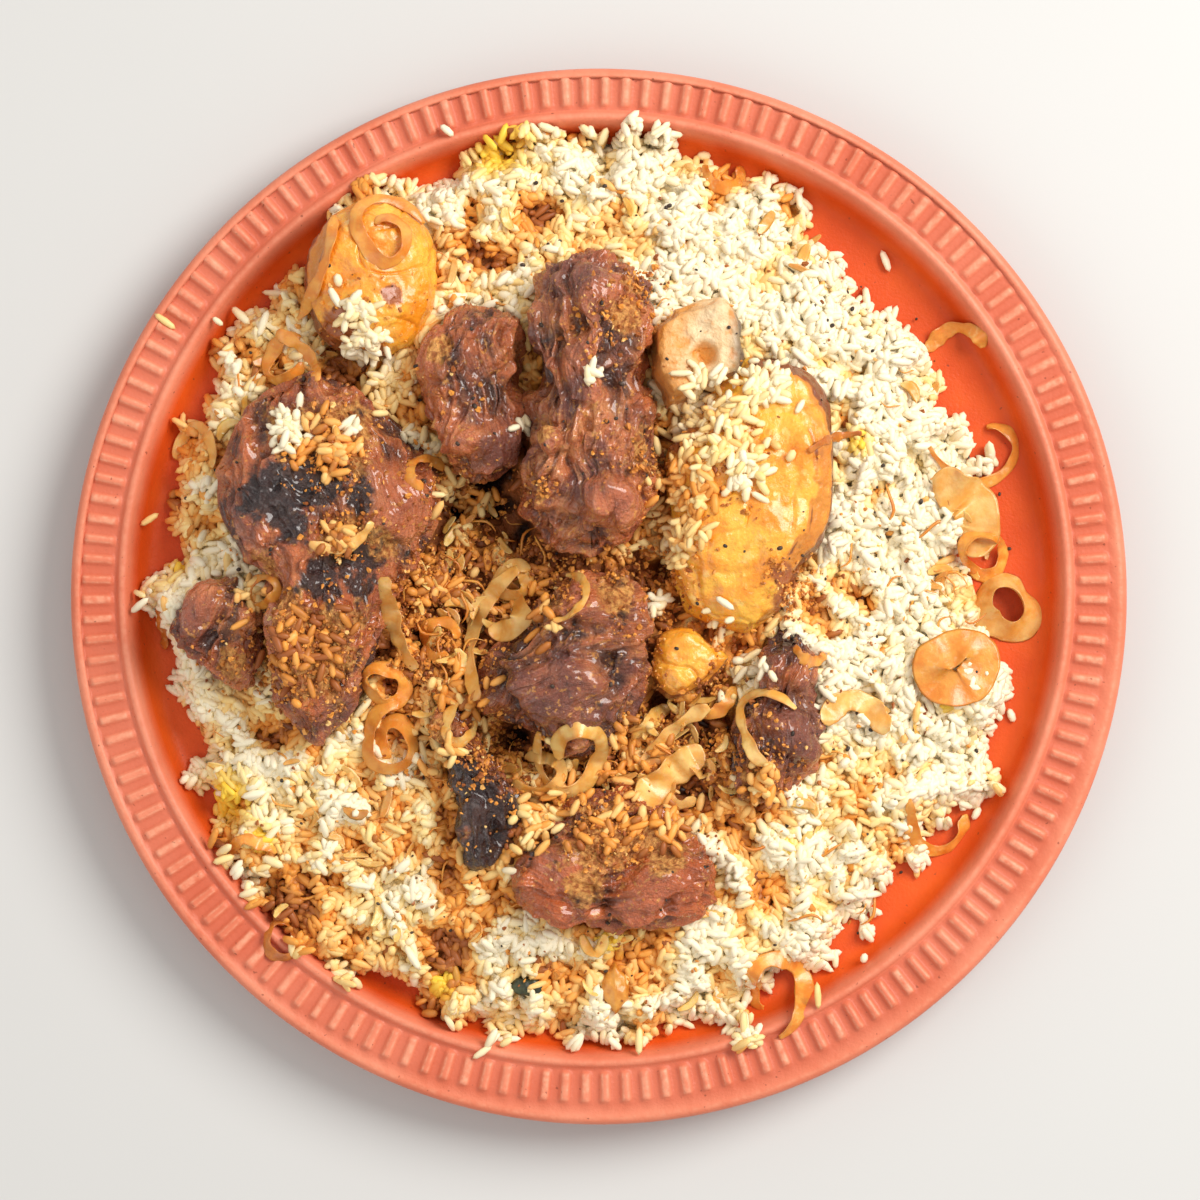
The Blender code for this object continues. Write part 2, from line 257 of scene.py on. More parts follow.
def clay_material():
    """Terracotta: saturated orange in the well, paler and dustier on the fluted rim."""
    r = Recipe("clay", Coat_Roughness=0.35, Specular_IOR_Level=0.25)
    rim = r.field("rim")
    wear_and_highlight = r.field("wear_and_highlight")
    blotch = r.grain(0.030).step(0.35, 0.70)
    well = r.mix(blotch, (0.68, 0.080, 0.010), (0.80, 0.118, 0.014))
    band = r.mix(blotch, (0.71, 0.180, 0.094), (0.80, 0.255, 0.148))
    colour = r.mix(rim, well, band)
    # Paler pink on the rib shoulders and the bead tops: partly wear, partly a painted highlight
    colour = r.mix(wear_and_highlight * r.grain(0.0022).step(0.25, 0.75), colour, (0.86, 0.36, 0.22))
    groove_shade = r.field("groove_shade")
    # Painted shade: the clay darkened where the ribs are low, between them and along both ends of the
    # band
    colour = r.mix(groove_shade * 0.45, colour, (0.50, 0.085, 0.040))
    speck = r.grain(0.0016, 1.0).step(0.72, 0.80)
    colour = r.mix(speck * 0.6, colour, (0.18, 0.040, 0.018))
    r.bump(r.grain(0.0009) * 0.6 + r.grain(0.012), 0.00035, 0.8)
    return r.set(Base_Color=colour, Roughness=r.grain(0.02) * 0.18 + 0.34, Coat_Weight=0.08)


def rice_colour(r, stain_and_shade):
    """White where clean, then cream, orange with gravy and brown where most stained, and near black past
    that: painted shade at the bottom of the hollows, and the darkest crumbs and grains. Every step also
    carries the painted shade of the rice's valleys and lower layers."""
    colour = r.mix(stain_and_shade.step(0.0, 0.36), (0.95, 0.85, 0.62), (0.96, 0.70, 0.28))
    colour = r.mix(stain_and_shade.step(0.28, 0.62), colour, (0.88, 0.36, 0.060))
    colour = r.mix(stain_and_shade.step(0.58, 0.95), colour, (0.36, 0.105, 0.025))
    # Past 1 the colour goes near black: painted shade at the bottom of the pits, and the darkest crumbs
    # and grains
    return r.mix(stain_and_shade.step(1.0, 1.4), colour, (0.030, 0.010, 0.005))


def rice_material():
    """Cooked rice: the gravy stains each grain by its own amount, painted shade darkens the low ones the
    same way, and saffron dyes a few yellow.
    """
    r = Recipe("rice", Specular_IOR_Level=0.35)
    colour = rice_colour(r, r.field("stain_and_shade") + r.grain(0.003) * 0.24 - 0.12)
    colour = r.mix(r.field("saffron"), colour, (0.95, 0.62, 0.06))
    r.bump(r.grain(0.0008), 0.00012, 0.4)
    return r.set(Base_Color=colour, Roughness=0.45)


def core_material():
    """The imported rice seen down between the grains: rounded cells the width of a grain."""
    r = Recipe("rice_packed", Specular_IOR_Level=0.35)
    # Painted light and shade: the packed rice is set lighter than the grains over it, so the gaps
    # between them read less shaded, and in the pits it takes the painted near-black shade
    colour = rice_colour(r, r.field("stain_and_shade") + r.grain(0.005) * 0.4 - 0.18)
    cells = r.node("ShaderNodeTexVoronoi", {"feature": "SMOOTH_F1"},
                   {"Vector": r.place, "Scale": 300.0})
    r.bump(1 - cells + r.grain(0.0015), 0.0016, 1.0)
    return r.set(Base_Color=colour, Roughness=0.5)


def meat_material():
    """Braised meat: red-brown strands, tan spice paste, black char, wet with fat, with painted shade:
    near black in the hollows between strands and dark in their fine grooves, and painted light in tan on
    the raised strands.
    """
    r = Recipe("meat", Coat_Roughness=0.12, Subsurface_Weight=0.08,
               Subsurface_Scale=0.003, Subsurface_Radius=(1.0, 0.3, 0.2))
    strand = r.node("ShaderNodeCombineXYZ", None, {0: r.field("along"), 1: r.field("across"), 2: 0.0})
    fine = r.node("ShaderNodeTexNoise", None,
                  {"Vector": strand, "Scale": 1.0, "Detail": 5.0, "Roughness": 0.65})
    ridge = r.field("ridge")
    tone = r.grain(0.011, 3.0)
    colour = r.mix(tone.step(0.34, 0.50), (0.23, 0.064, 0.040), (0.62, 0.180, 0.062))
    colour = r.mix(tone.step(0.52, 0.66), colour, (0.74, 0.270, 0.095))
    # Painted light and shade on the fine strands: tan where their bump is raised, dark in the grooves
    # between them
    colour = r.mix(fine.step(0.48, 0.66) * 0.6, colour, (0.86, 0.390, 0.165))
    colour = r.mix((1 - fine).step(0.52, 0.68) * 0.55, colour, (0.16, 0.040, 0.028))
    colour = r.mix(r.field("red") * 0.8, colour, (0.60, 0.115, 0.016))
    colour = r.mix(r.field("knob") * 0.6, colour, (0.60, 0.160, 0.066))
    # Dark purple-brown: the meat's own glaze in some spots, painted shade in others, such as the flank's
    # side by the gap
    colour = r.mix(r.field("glaze_and_shade") * 0.75, colour, (0.13, 0.038, 0.034))
    # Painted shade: near black where the ridge field is low, in the hollows between strands
    colour = r.mix((1 - ridge).step(0.42, 0.85) * 0.9, colour, (0.045, 0.012, 0.008))
    crumb = r.mix(r.grain(0.0016).step(0.36, 0.64), (0.40, 0.120, 0.026), (0.82, 0.40, 0.110))
    paste = (r.field("paste") + r.grain(0.0022) * 1.1 - 0.55).step(0.20, 0.55)
    colour = r.mix(paste, colour, crumb)
    fleck = (r.grain(0.0019, 2.0) + r.grain(0.012) * 0.3 - 0.15).step(0.60, 0.70) * 0.8
    colour = r.mix(fleck, colour, (0.78, 0.340, 0.080))
    char = (r.field("char") + r.grain(0.0028) * 1.3 - 0.65).step(0.25, 0.70)
    colour = r.mix(char * 0.92, colour, (0.018, 0.011, 0.014))
    r.bump(r.grain(0.0013, 6.0) + fine * 1.1 + r.grain(0.0036), 0.0017, 1.0)
    rough = 0.14 + paste * 0.25 + r.grain(0.0022) * 0.24
    return r.set(Base_Color=colour, Roughness=rough, Coat_Weight=(1 - paste) * 0.8)


def potato_material():
    """Stewed potato: gold, oranger in patches, with cracks and a brown skin on one side."""
    r = Recipe("potato", Coat_Roughness=0.2, Subsurface_Weight=0.25,
               Subsurface_Scale=0.004, Subsurface_Radius=(1.0, 0.5, 0.15))
    colour = r.mix(r.grain(0.011).step(0.36, 0.64), (0.88, 0.300, 0.014), (0.98, 0.50, 0.055))
    colour = r.mix(r.grain(0.0032, 5.0).step(0.50, 0.72) * 0.45, colour, (0.72, 0.200, 0.012))
    colour = r.mix(r.grain(0.0045, 5.0).step(0.58, 0.70) * 0.6, colour, (0.98, 0.66, 0.20))
    skin = r.field("skin")
    colour = r.mix(skin.step(0.10, 0.45) * 0.85, colour, (0.62, 0.205, 0.018))
    colour = r.mix(skin.step(0.70, 0.95), colour, (0.22, 0.050, 0.010))
    paste = (r.field("paste") + r.grain(0.0028) * 1.2 - 0.6).step(0.15, 0.7)
    colour = r.mix(paste * 0.9, colour, (0.33, 0.075, 0.018))
    r.bump(r.grain(0.0018, 5.0) + r.grain(0.006) * 1.5, 0.0009, 0.7)
    return r.set(Base_Color=colour, Roughness=r.grain(0.005) * 0.25 + 0.18, Coat_Weight=0.6)


def bone_material():
    """Cut bone: tan and porous, with orange marrow and a grey-brown sawn edge."""
    r = Recipe("bone", Coat_Roughness=0.3)
    colour = r.mix(r.grain(0.005).step(0.3, 0.7), (0.74, 0.45, 0.20), (0.92, 0.70, 0.42))
    colour = r.mix(r.grain(0.004).step(0.52, 0.66) * 0.8, colour, (0.80, 0.290, 0.050))
    colour = r.mix(r.field("marrow"), colour, (0.74, 0.290, 0.035))
    colour = r.mix(r.field("edge"), colour, (0.17, 0.125, 0.085))
    r.bump(r.grain(0.0014) + r.grain(0.005), 0.0007, 0.9)
    return r.set(Base_Color=colour, Roughness=0.42, Coat_Weight=0.2)


def onion_material(name, light, dark):
    """Fried onion: amber and glossy, browner in streaks and along its thin edges."""
    r = Recipe(name, Coat_Roughness=0.2, Subsurface_Weight=0.2,
               Subsurface_Scale=0.002, Subsurface_Radius=(1.0, 0.45, 0.12))
    streak = r.field("streak")
    colour = r.mix(r.grain(0.005).step(0.35, 0.65), dark, light)
    colour = r.mix(r.grain(0.0028).step(0.60, 0.75) * 0.5, colour, (0.96, 0.74, 0.38))
    colour = r.mix(streak * 0.75, colour, (0.55, 0.165, 0.018))
    r.bump(r.grain(0.0012) + streak, 0.0003, 0.6)
    return r.set(Base_Color=colour, Roughness=0.33, Coat_Weight=0.3)


def plain_food(name, light, dark, size, rough, depth):
    """A small piece of two mingled tones with a wrinkled skin."""
    r = Recipe(name, Coat_Roughness=0.25)
    colour = r.mix(r.grain(size).step(0.35, 0.65), dark, light)
    r.bump(r.grain(size / 2), depth, 0.8)
    return r.set(Base_Color=colour, Roughness=rough, Coat_Weight=0.2)


# ---------------------------------------------------------------------------------------
# Plate
# ---------------------------------------------------------------------------------------

PLATE_LOW, PLATE_HIGH = (np.array(corner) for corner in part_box("plate"))
PLATE_RADIUS = (PLATE_HIGH[0] - PLATE_LOW[0]) / 2
FLOOR_Z = 8 * MM
WELL_MIDDLE = np.array((-1.0 * MM, 2.0 * MM))
RIBS = 156
RIB_HEIGHT = 1.5 * MM
BAND_OUTER = 146.3 * MM
BAND_INNER = 136.4 * MM
BAND_HEIGHT = 18.7 * MM
BAND_FALL = 0.7 * MM
BAND_ROWS = 15
# One rib across its width: where it is sampled, and how high it stands there
RIB_SHARE = np.array((-0.14, 0.0, 0.14, 0.27, 0.42, 0.58, 0.73, 0.86, 1.0, 1.14))
RIB_LIFT = np.array((0.0, 0.13, 0.50, 0.86, 1.0, 1.0, 0.86, 0.50, 0.13, 0.0))

# Turned profile, radius and height in mm: foot, flared underside, outer bead
OUTSIDE = ((30, 0), (70, 0), (100, 0), (103.5, 0), (104.6, 0.3), (108, 1.4), (112, 2.6), (120, 4.9),
           (128, 7.2), (136, 9.6), (141, 11.2), (146, 12.9), (148.4, 14.2), (149.6, 15.6),
           (150, 17.0), (149.7, 18.3), (148.9, 19.2), (147.9, 19.6), (147.0, 19.4))
# Inner bead, wall and floor of the well
INSIDE = ((135.9, 18.2), (135.5, 18.9), (134.9, 19.45), (134.2, 19.6), (133.5, 19.4), (132.9, 18.7),
          (132.3, 17.4), (131.4, 14.8), (130.4, 12.0), (129.6, 10.4), (128.5, 9.2), (127.0, 8.4),
          (125.0, 8.05), (120, 8), (105, 8), (80, 8), (45, 8), (15, 8))


def make_plate(material):
    """A turned dish. Each row is a circle of the profile; across the band the height is raised
    by each rib's own profile: a round crest with soft flanks, falling away at both its ends. Two
    noises then unsettle the heights a little, as on a hand-made dish."""
    rng = np.random.default_rng(11)
    # Each rib: where its left and right flanks stand within its share of the circle
    left = 0.20 + rng.uniform(-0.03, 0.04, RIBS)
    right = 0.80 + rng.uniform(-0.04, 0.03, RIBS)
    crest = left[:, None] + (right - left)[:, None] * RIB_SHARE
    angle = ((np.arange(RIBS)[:, None] + crest) * 2 * math.pi / RIBS).ravel()
    columns = len(angle)
    level = rng.uniform(0.82, 1.08, RIBS)
    rib = (RIB_LIFT[None, :] * level[:, None]).ravel()
    lean = np.repeat(rng.uniform(-0.5, 0.5, RIBS), len(RIB_LIFT))
    across = np.linspace(0, 1, BAND_ROWS)
    ends = smooth(0.03, 0.13, across) * smooth(0.03, 0.12, 1 - across)
    # Each row: its radii, its heights, whether it is centred on the well, and its share of a rib
    rows = [(np.full(columns, r * MM), np.full(columns, z * MM), 0.0, 0 * rib) for r, z in OUTSIDE]
    for f, end in zip(across, ends):
        radius = BAND_OUTER + (BAND_INNER - BAND_OUTER) * f
        rows.append((radius + lean * 0.6 * MM * (1 - f) * f,
                     BAND_HEIGHT - BAND_FALL * f + RIB_HEIGHT * rib * end, 1.0, rib * end))
    rows += [(np.full(columns, r * MM), np.full(columns, z * MM), 1.0, 0 * rib) for r, z in INSIDE]
    radii, heights, inner, ribs = (np.array(column) for column in zip(*rows))
    inner = inner[:, None]
    x = WELL_MIDDLE[0] * inner + radii * np.cos(angle)
    y = WELL_MIDDLE[1] * inner + radii * np.sin(angle)
    grid = np.stack((x, y, heights), -1)
    handmade = cloud(grid, 45 * MM, 3, 2)
    grid[..., 2] += 0.18 * MM * handmade * smooth(6 * MM, 12 * MM, heights)
    grid[..., 2] += 0.10 * MM * noise(grid, 5 * MM, 4) * smooth(12 * MM, 17 * MM, heights)
    band = np.zeros(heights.shape)
    band[len(OUTSIDE):len(OUTSIDE) + BAND_ROWS] = 1.0
    rim = smooth(12.5 * MM, 18 * MM, heights)
    # Rib shoulders and bead tops, painted paler: partly wear, partly a painted highlight
    wear_and_highlight = smooth(0.55, 0.75, ribs) * (1 - smooth(0.93, 0.99, ribs)) * band
    wear_and_highlight = np.maximum(wear_and_highlight, 0.5 * smooth(19.3 * MM, 19.6 * MM, heights) * (1 - band))
    # Painted shade where the ribs are low: between them and along both ends of the band
    groove_shade = band * (1 - smooth(0.05, 0.5, ribs))
    quads, caps = skin_faces(*grid.shape[:2])
    poles = np.array(((0, 0, 0), (*WELL_MIDDLE, FLOOR_Z)))
    points = np.vstack((grid.reshape(-1, 3), poles))
    fields = {"rim": rim, "wear_and_highlight": wear_and_highlight, "groove_shade": groove_shade}
    fields = {k: np.append(v.ravel(), (0, 0)) for k, v in fields.items()}
    finish_piece("clay_plate", points, quads, caps, material, ("plate",), fields)
    return grid


# ---------------------------------------------------------------------------------------
# Heights
# ---------------------------------------------------------------------------------------


class Relief:
    """The height of the highest skin over each place of the plate, kept on a square grid."""

    CELL = 0.5 * MM
    HALF = 153 * MM

    def __init__(self):
        self.side = int(2 * self.HALF / self.CELL) + 1
        self.height = np.zeros((self.side, self.side))
        line = np.arange(self.side) * self.CELL - self.HALF
        self.x, self.y = np.meshgrid(line, line, indexing="ij")

    def cell(self, value):
        """The grid's nearest row or column for a distance from its middle."""
        return np.clip(np.rint((value + self.HALF) / self.CELL).astype(int), 0, self.side - 1)

    def cover(self, points):
        """Raises the grid to these points, then closes pinholes: a spread and a shrink."""
        points = np.asarray(points).reshape(-1, 3)
        layer = np.zeros_like(self.height)
        np.maximum.at(layer, (self.cell(points[:, 0]), self.cell(points[:, 1])), points[:, 2])
        for pick in (np.maximum, np.maximum, np.minimum, np.minimum):
            for axis in (0, 1):
                layer = pick(layer, pick(np.roll(layer, 1, axis), np.roll(layer, -1, axis)))
        self.height = np.maximum(self.height, layer)

    def at(self, x, y):
        """The height over these places."""
        return self.height[self.cell(x), self.cell(y)]

    def lay(self, x, y, lift):
        """Points of space over these places, lifted so far above the height."""
        return np.stack((x, y, self.at(x, y) + lift), -1)

    def copy(self):
        """A second grid with the same heights, to be raised on its own."""
        other = Relief()
        other.height = self.height.copy()
        return other


def blur(field, cells):
    """An even spread of a grid over a square of cells, twice."""
    for _ in range(2):
        for axis in (0, 1):
            total = np.cumsum(field, axis)
            field = (np.roll(total, -cells, axis) - np.roll(total, cells, axis)) / (2 * cells)
    return field


# ---------------------------------------------------------------------------------------
# Pieces shaped from their CAD solids
# ---------------------------------------------------------------------------------------


# Levels and directions of the rays that measure a CAD solid
COARSE = (22, 44)


def triangles_of(node):
    """All triangles of a CAD solid's mesh: triangle, corner, and x, y, z."""
    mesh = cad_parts[node].data
    mesh.calc_loop_triangles()
    corners = np.empty(len(mesh.loop_triangles) * 3, np.int32)
    mesh.loop_triangles.foreach_get("vertices", corners)
    points = np.empty(len(mesh.vertices) * 3, np.float32)
    mesh.vertices.foreach_get("co", points)
    return points.reshape(-1, 3).astype(float)[corners.reshape(-1, 3)]


def solid_reach(node, middle, rays):
    """How many times each ray from the middle must be stretched to meet the solid's skin: all rays
    are tried against all triangles at once, by ratios of triple products, and the farthest counts."""
    a, b, c = np.moveaxis(triangles_of(node), 1, 0)
    e1, e2 = b - a, c - a
    s = middle - a
    q = np.cross(s, e1)
    p = np.cross(rays[:, None, :], e2[None])
    det = np.einsum("rtk,tk->rt", p, e1)
    det = np.where(np.abs(det) < 1e-14, 1e-14, det)
    u = np.einsum("rtk,tk->rt", p, s) / det
    v = rays @ q.T / det
    t = np.einsum("tk,tk->t", q, e2)[None] / det
    edge = -1e-6
    met = (u >= edge) & (v >= edge) & (u + v <= 1 - edge) & (t > 0)
    return np.where(met, t, 0).max(axis=1)


def refine(values, count, axis, closed):
    """Reads a grid at count even places along one axis, by Catmull-Rom curves."""
    n = values.shape[axis]
    place = np.arange(count) * n / count if closed else np.linspace(0, n - 1, count)
    cell = np.floor(place).astype(int)
    f = place - cell
    pick = [np.take(values, (cell + k) % n if closed else np.clip(cell + k, 0, n - 1), axis)
            for k in (-1, 0, 1, 2)]
    shape = [1] * values.ndim
    shape[axis] = count
    f = f.reshape(shape)
    a, b, c, d = pick
    return b + 0.5 * f * (c - a + f * (2 * a - 5 * b + 4 * c - d + f * (3 * (b - c) + d - a)))


def base_form(node, rows, columns, grow=1.0):
    """A smooth closed grid through the CAD solid's skin, with its bottom and top poles: rays on an
    ellipsoid are stretched to the skin, and curves through them give the finer grid."""
    low, high = (np.array(corner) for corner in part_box(node))
    middle = (low + high) / 2
    half = (high - low) / 2

    def rays(r, c):
        level = np.linspace(-math.pi / 2, math.pi / 2, r + 2)[1:-1, None]
        turn = np.arange(c)[None, :] * 2 * math.pi / c
        return np.stack((half[0] * np.cos(level) * np.cos(turn),
                         half[1] * np.cos(level) * np.sin(turn),
                         half[2] * np.sin(level) + 0 * turn), -1)

    reach = solid_reach(node, middle, rays(*COARSE).reshape(-1, 3)).reshape(COARSE)
    poles = solid_reach(node, middle, np.array(((0, 0, -half[2]), (0, 0, half[2]))))
    reach = np.vstack((np.full((1, COARSE[1]), poles[0]), reach, np.full((1, COARSE[1]), poles[1])))
    fine = refine(refine(reach, rows + 2, 0, False), columns, 1, True)[1:-1]
    grid = middle + rays(rows, columns) * fine[..., None] * grow
    ends = middle + np.array(((0, 0, -half[2] * poles[0]), (0, 0, half[2] * poles[1]))) * grow
    return grid, ends


def close_skin(grid, ends):
    """Moves the poles onto the mean of their neighbours, so that no spike stands there."""
    ends[0] = grid[0].mean(0)
    ends[1] = grid[-1].mean(0)
    return np.vstack((grid.reshape(-1, 3), ends))


def with_poles(field):
    """A field over a grid, then its value at each pole: the mean of the row beside it."""
    return np.append(field.ravel(), (field[0].mean(), field[-1].mean()))


def finish_food(name, finish, grid, ends, material, relief, fields):
    """Closes a grid into the mesh that stands for its CAD solid, and raises the relief to it."""
    fields = {k: with_poles(v) for k, v in fields.items()}
    points = close_skin(grid, ends)
    quads, caps = skin_faces(*grid.shape[:2])
    finish_piece(f"{name}_{finish}", points, quads, caps, material, (name,), fields)
    relief.cover(grid)


# Each piece of meat: direction of its strands in degrees, size of its lobes in mm, depth of the hollows
# between its strands in mm, its soft spots (x, y, radius in mm) of char, of spice paste and of dark
# glaze, which is partly the meat's own purple-brown and partly painted shade on sides turned from the
# light, and how red it is
MEAT = {
    "meat_left": (100, 17, 2.6, ((-88, 27, 11), (-79, 30, 9), (-66, 26, 5), (-76, 4, 7), (-68, 8, 8)),
                  ((-82, -14, 16), (-74, 44, 11), (-70, 16, 8), (-94, 8, 6), (-62, 14, 5), (-86, 46, 8)),
                  ((-100, 20, 8), (-70, -34, 8)), 0.35),
    "meat_low_left": (60, 12, 2.0, (), ((-103, -20, 5),), ((-116, -8, 8),), 0.3),
    # The flank's dark spot is painted shade on its side that falls into the gap by meat_main
    "meat_flank": (85, 15, 2.2, (), ((-50, 48, 4), (-46, 70, 5)), ((-26, 40, 9),), 0.5),
    "meat_main": (80, 13, 2.8, (),
                  ((8, 78, 5), (12, 88, 5), (15, 40, 6), (16, 28, 5), (-16, 46, 4), (-17, 28, 3)),
                  ((-8, 88, 9), (4, 72, 5), (16, 88, 6), (-8, 56, 5), (-20, 70, 5)), 0.3),
    "meat_centre": (20, 12, 2.8, (), ((-18, 2, 8), (4, 2, 6)), ((-16, -30, 14), (2, -32, 10)), 0.15),
    "meat_bottom": (165, 12, 2.6, ((-20, -68, 4),), ((2, -66, 12), (18, -68, 8), (-4, -80, 5)),
                    ((0, -62, 8),), 1.0),
    "meat_strip": (120, 12, 2.2, ((-36, -54, 10), (-31, -62, 11), (-30, -70, 9)), ((-46, -38, 5),),
                   ((-44, -42, 6),), 0.3),
    "meat_right": (75, 11, 2.6, (), ((46, -56, 5), (44, -50, 4)), ((56, -34, 12), (52, -14, 6)), 0.15),
}

# Smooth knobs that stand out of the meat: x, y, radius and height in mm
KNOBS = {
    "meat_left": ((-60, 28, 13, 1.2), (-66, 2, 9, 1.0)),
    "meat_main": ((2, 24, 9.5, 3.5), (6, 84, 8, 1.6), (-15, 45, 4, 2.5), (-2, 66, 6, 1.2)),
    "meat_centre": ((3, -2, 7, 2.0), (-16, -28, 8, 2.0)),
    "meat_bottom": ((10, -82, 8, 1.5), (-12, -72, 7, 1.0)),
    "meat_flank": ((-48, 68, 7, 1.2), (-32, 42, 8, 1.2)),
    "meat_right": ((54, -40, 8, 2.0),),
    "meat_low_left": ((-112, -6, 6, 1.0),),
}


def make_meat(name, spec, seed, material, relief):
    """The CAD form grown slightly, then moved along its normals by round lobes, by strands in three
    sizes (noise stretched along one bent direction, with a sharp ridge where it crosses zero), by
    gouges, by knobs with a moat round each, and by crumbs. Knobs are smoother than the rest, and
    the underside stays plain."""
    turn, lobe, depth, char, paste, glaze_and_shade, redness = spec
    low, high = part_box(name)
    size = max(high[0] - low[0], high[1] - low[1])
    columns = int(np.clip(size / MM * 4.8, 170, 380))
    rows = columns // 2
    grid, ends = base_form(name, rows, columns, 1.03)
    normal = grid_normals(grid)
    bend = 9 * MM * noise_vector(grid, 26 * MM, range(seed + 31, seed + 34))
    warp = grid + bend + 2.5 * MM * noise_vector(grid, 8 * MM, range(seed + 34, seed + 37))
    radians = math.radians(turn)
    along = warp @ np.array((math.cos(radians), math.sin(radians), 0))
    across = warp @ np.array((-math.sin(radians), math.cos(radians), 0))
    strands = np.stack((along, across, warp[..., 2]), -1)
    muscle = 1 - np.abs(noise(strands, (34 * MM, 9 * MM, 10 * MM), seed + 4)) * 2.2
    bundle = 1 - np.abs(noise(strands, (18 * MM, 4.0 * MM, 4.5 * MM), seed + 6)) * 2.2
    fibre = 1 - np.abs(noise(strands, (9 * MM, 1.7 * MM, 2.0 * MM), seed + 8)) * 2.2
    lobes = cloud(warp, lobe * MM, seed, 2)
    crumbs = cloud(grid, 2.6 * MM, seed + 15, 2)
    shreds = np.maximum(noise(grid, 3.4 * MM, seed + 16) - 0.25, 0)
    above = smooth(-0.7, 0.0, normal[..., 2])
    valley = (1 - smooth(-0.2, 0.75, 1 - muscle)) * 0.55 + (1 - smooth(-0.1, 0.8, 1 - bundle)) * 0.30
    ridge = np.clip(valley + 0.15 * (fibre + 1) / 2, 0, 1)
    gouge = np.maximum(np.abs(noise(warp, 10 * MM, seed + 17)) - 0.22, 0)
    knob = np.zeros(above.shape)
    swell = np.zeros(above.shape)
    for kx, ky, radius, height in KNOBS.get(name, ()):
        away = np.hypot(warp[..., 0] - kx * MM, warp[..., 1] - ky * MM) / (radius * MM)
        knob = np.maximum(knob, np.exp(-away ** 4))
        moat = 0.5 * np.exp(-(away - 1.25) ** 2 / 0.04)
        swell = swell + height * MM * (1.3 * np.exp(-away ** 4) - moat)
    rough = 1 - 0.6 * knob
    move = 2.6 * MM * lobes + rough * (1.15 * depth * MM * (ridge - 0.75) + 0.5 * MM * fibre
                                       - 3.6 * MM * gouge)
    move = move + swell + rough * (0.6 * MM * crumbs + 2.2 * MM * shreds)
    grid = grid + normal * (move * above)[..., None]
    x, y = grid[..., 0], grid[..., 1]
    wobble = 0.35 * cloud(flat(x, y), 6 * MM, seed + 20, 3)
    fields = {
        "along": along / (9 * MM), "across": across / (1.1 * MM),
        # Low in the hollows between strands, where the material paints shade near black
        "ridge": np.clip(0.25 + 0.75 * ridge + 0.25 * lobes + 0.3 * knob, 0, 1),
        "knob": knob,
        "char": np.clip(spots(x, y, char) + wobble, 0, 1) * above,
        "paste": np.clip(spots(x, y, paste) + wobble - 0.15, 0, 1) * smooth(0.1, 0.6, normal[..., 2]),
        "glaze_and_shade": np.clip(spots(x, y, glaze_and_shade) + 1.4 * wobble, 0, 1),
        "red": np.clip(redness + 0.5 * noise(grid, 16 * MM, seed + 21), 0, 1),
    }
    finish_food(name, "braised", grid, ends, material, relief, fields)


# Potatoes: seed, the way that the brown skin faces, and soft spots of spice paste
POTATOES = {
    "potato_large": (301, (0.9, 0.45, 0), ((55, -1, 6.5), (51, 6, 3.5), (22, 46, 6))),
    "potato_small": (311, (0, -1.0, 0), ((34, -26, 3),)),
    "potato_back": (321, (-0.9, -0.4, 0), ((-72, 76, 5), (-58, 84, 3))),
}


def make_potato(name, seed, skin_side, paste, material, relief):
    """The CAD form grown slightly and moved along its normals by broad bulges (the size of a slow
    noise), by dimples, and by cracks along the lines where another noise crosses zero."""
    grid, ends = base_form(name, 120, 240, 1.02)
    normal = grid_normals(grid)
    bulges = np.abs(noise(grid, 20 * MM, seed))
    cracks = np.exp(-(noise(grid, 12 * MM, seed + 5) / 0.05) ** 2)
    move = 1.8 * MM * bulges + 0.9 * MM * cloud(grid, 8 * MM, seed + 3, 4) - 0.7 * MM * cracks
    grid = grid + normal * move[..., None]
    x, y = grid[..., 0], grid[..., 1]
    wobble = 0.3 * cloud(flat(x, y), 5 * MM, seed + 8, 3)
    steep = smooth(0.92, 0.40, normal[..., 2] + 0.4 * wobble)
    fields = {
        "skin": steep * smooth(0.0, 0.4, normal @ np.array(skin_side)),
        "paste": np.clip(spots(x, y, paste) * 1.3 + wobble - 0.3, 0, 1),
    }
    finish_food(name, "stewed", grid, ends, material, relief, fields)


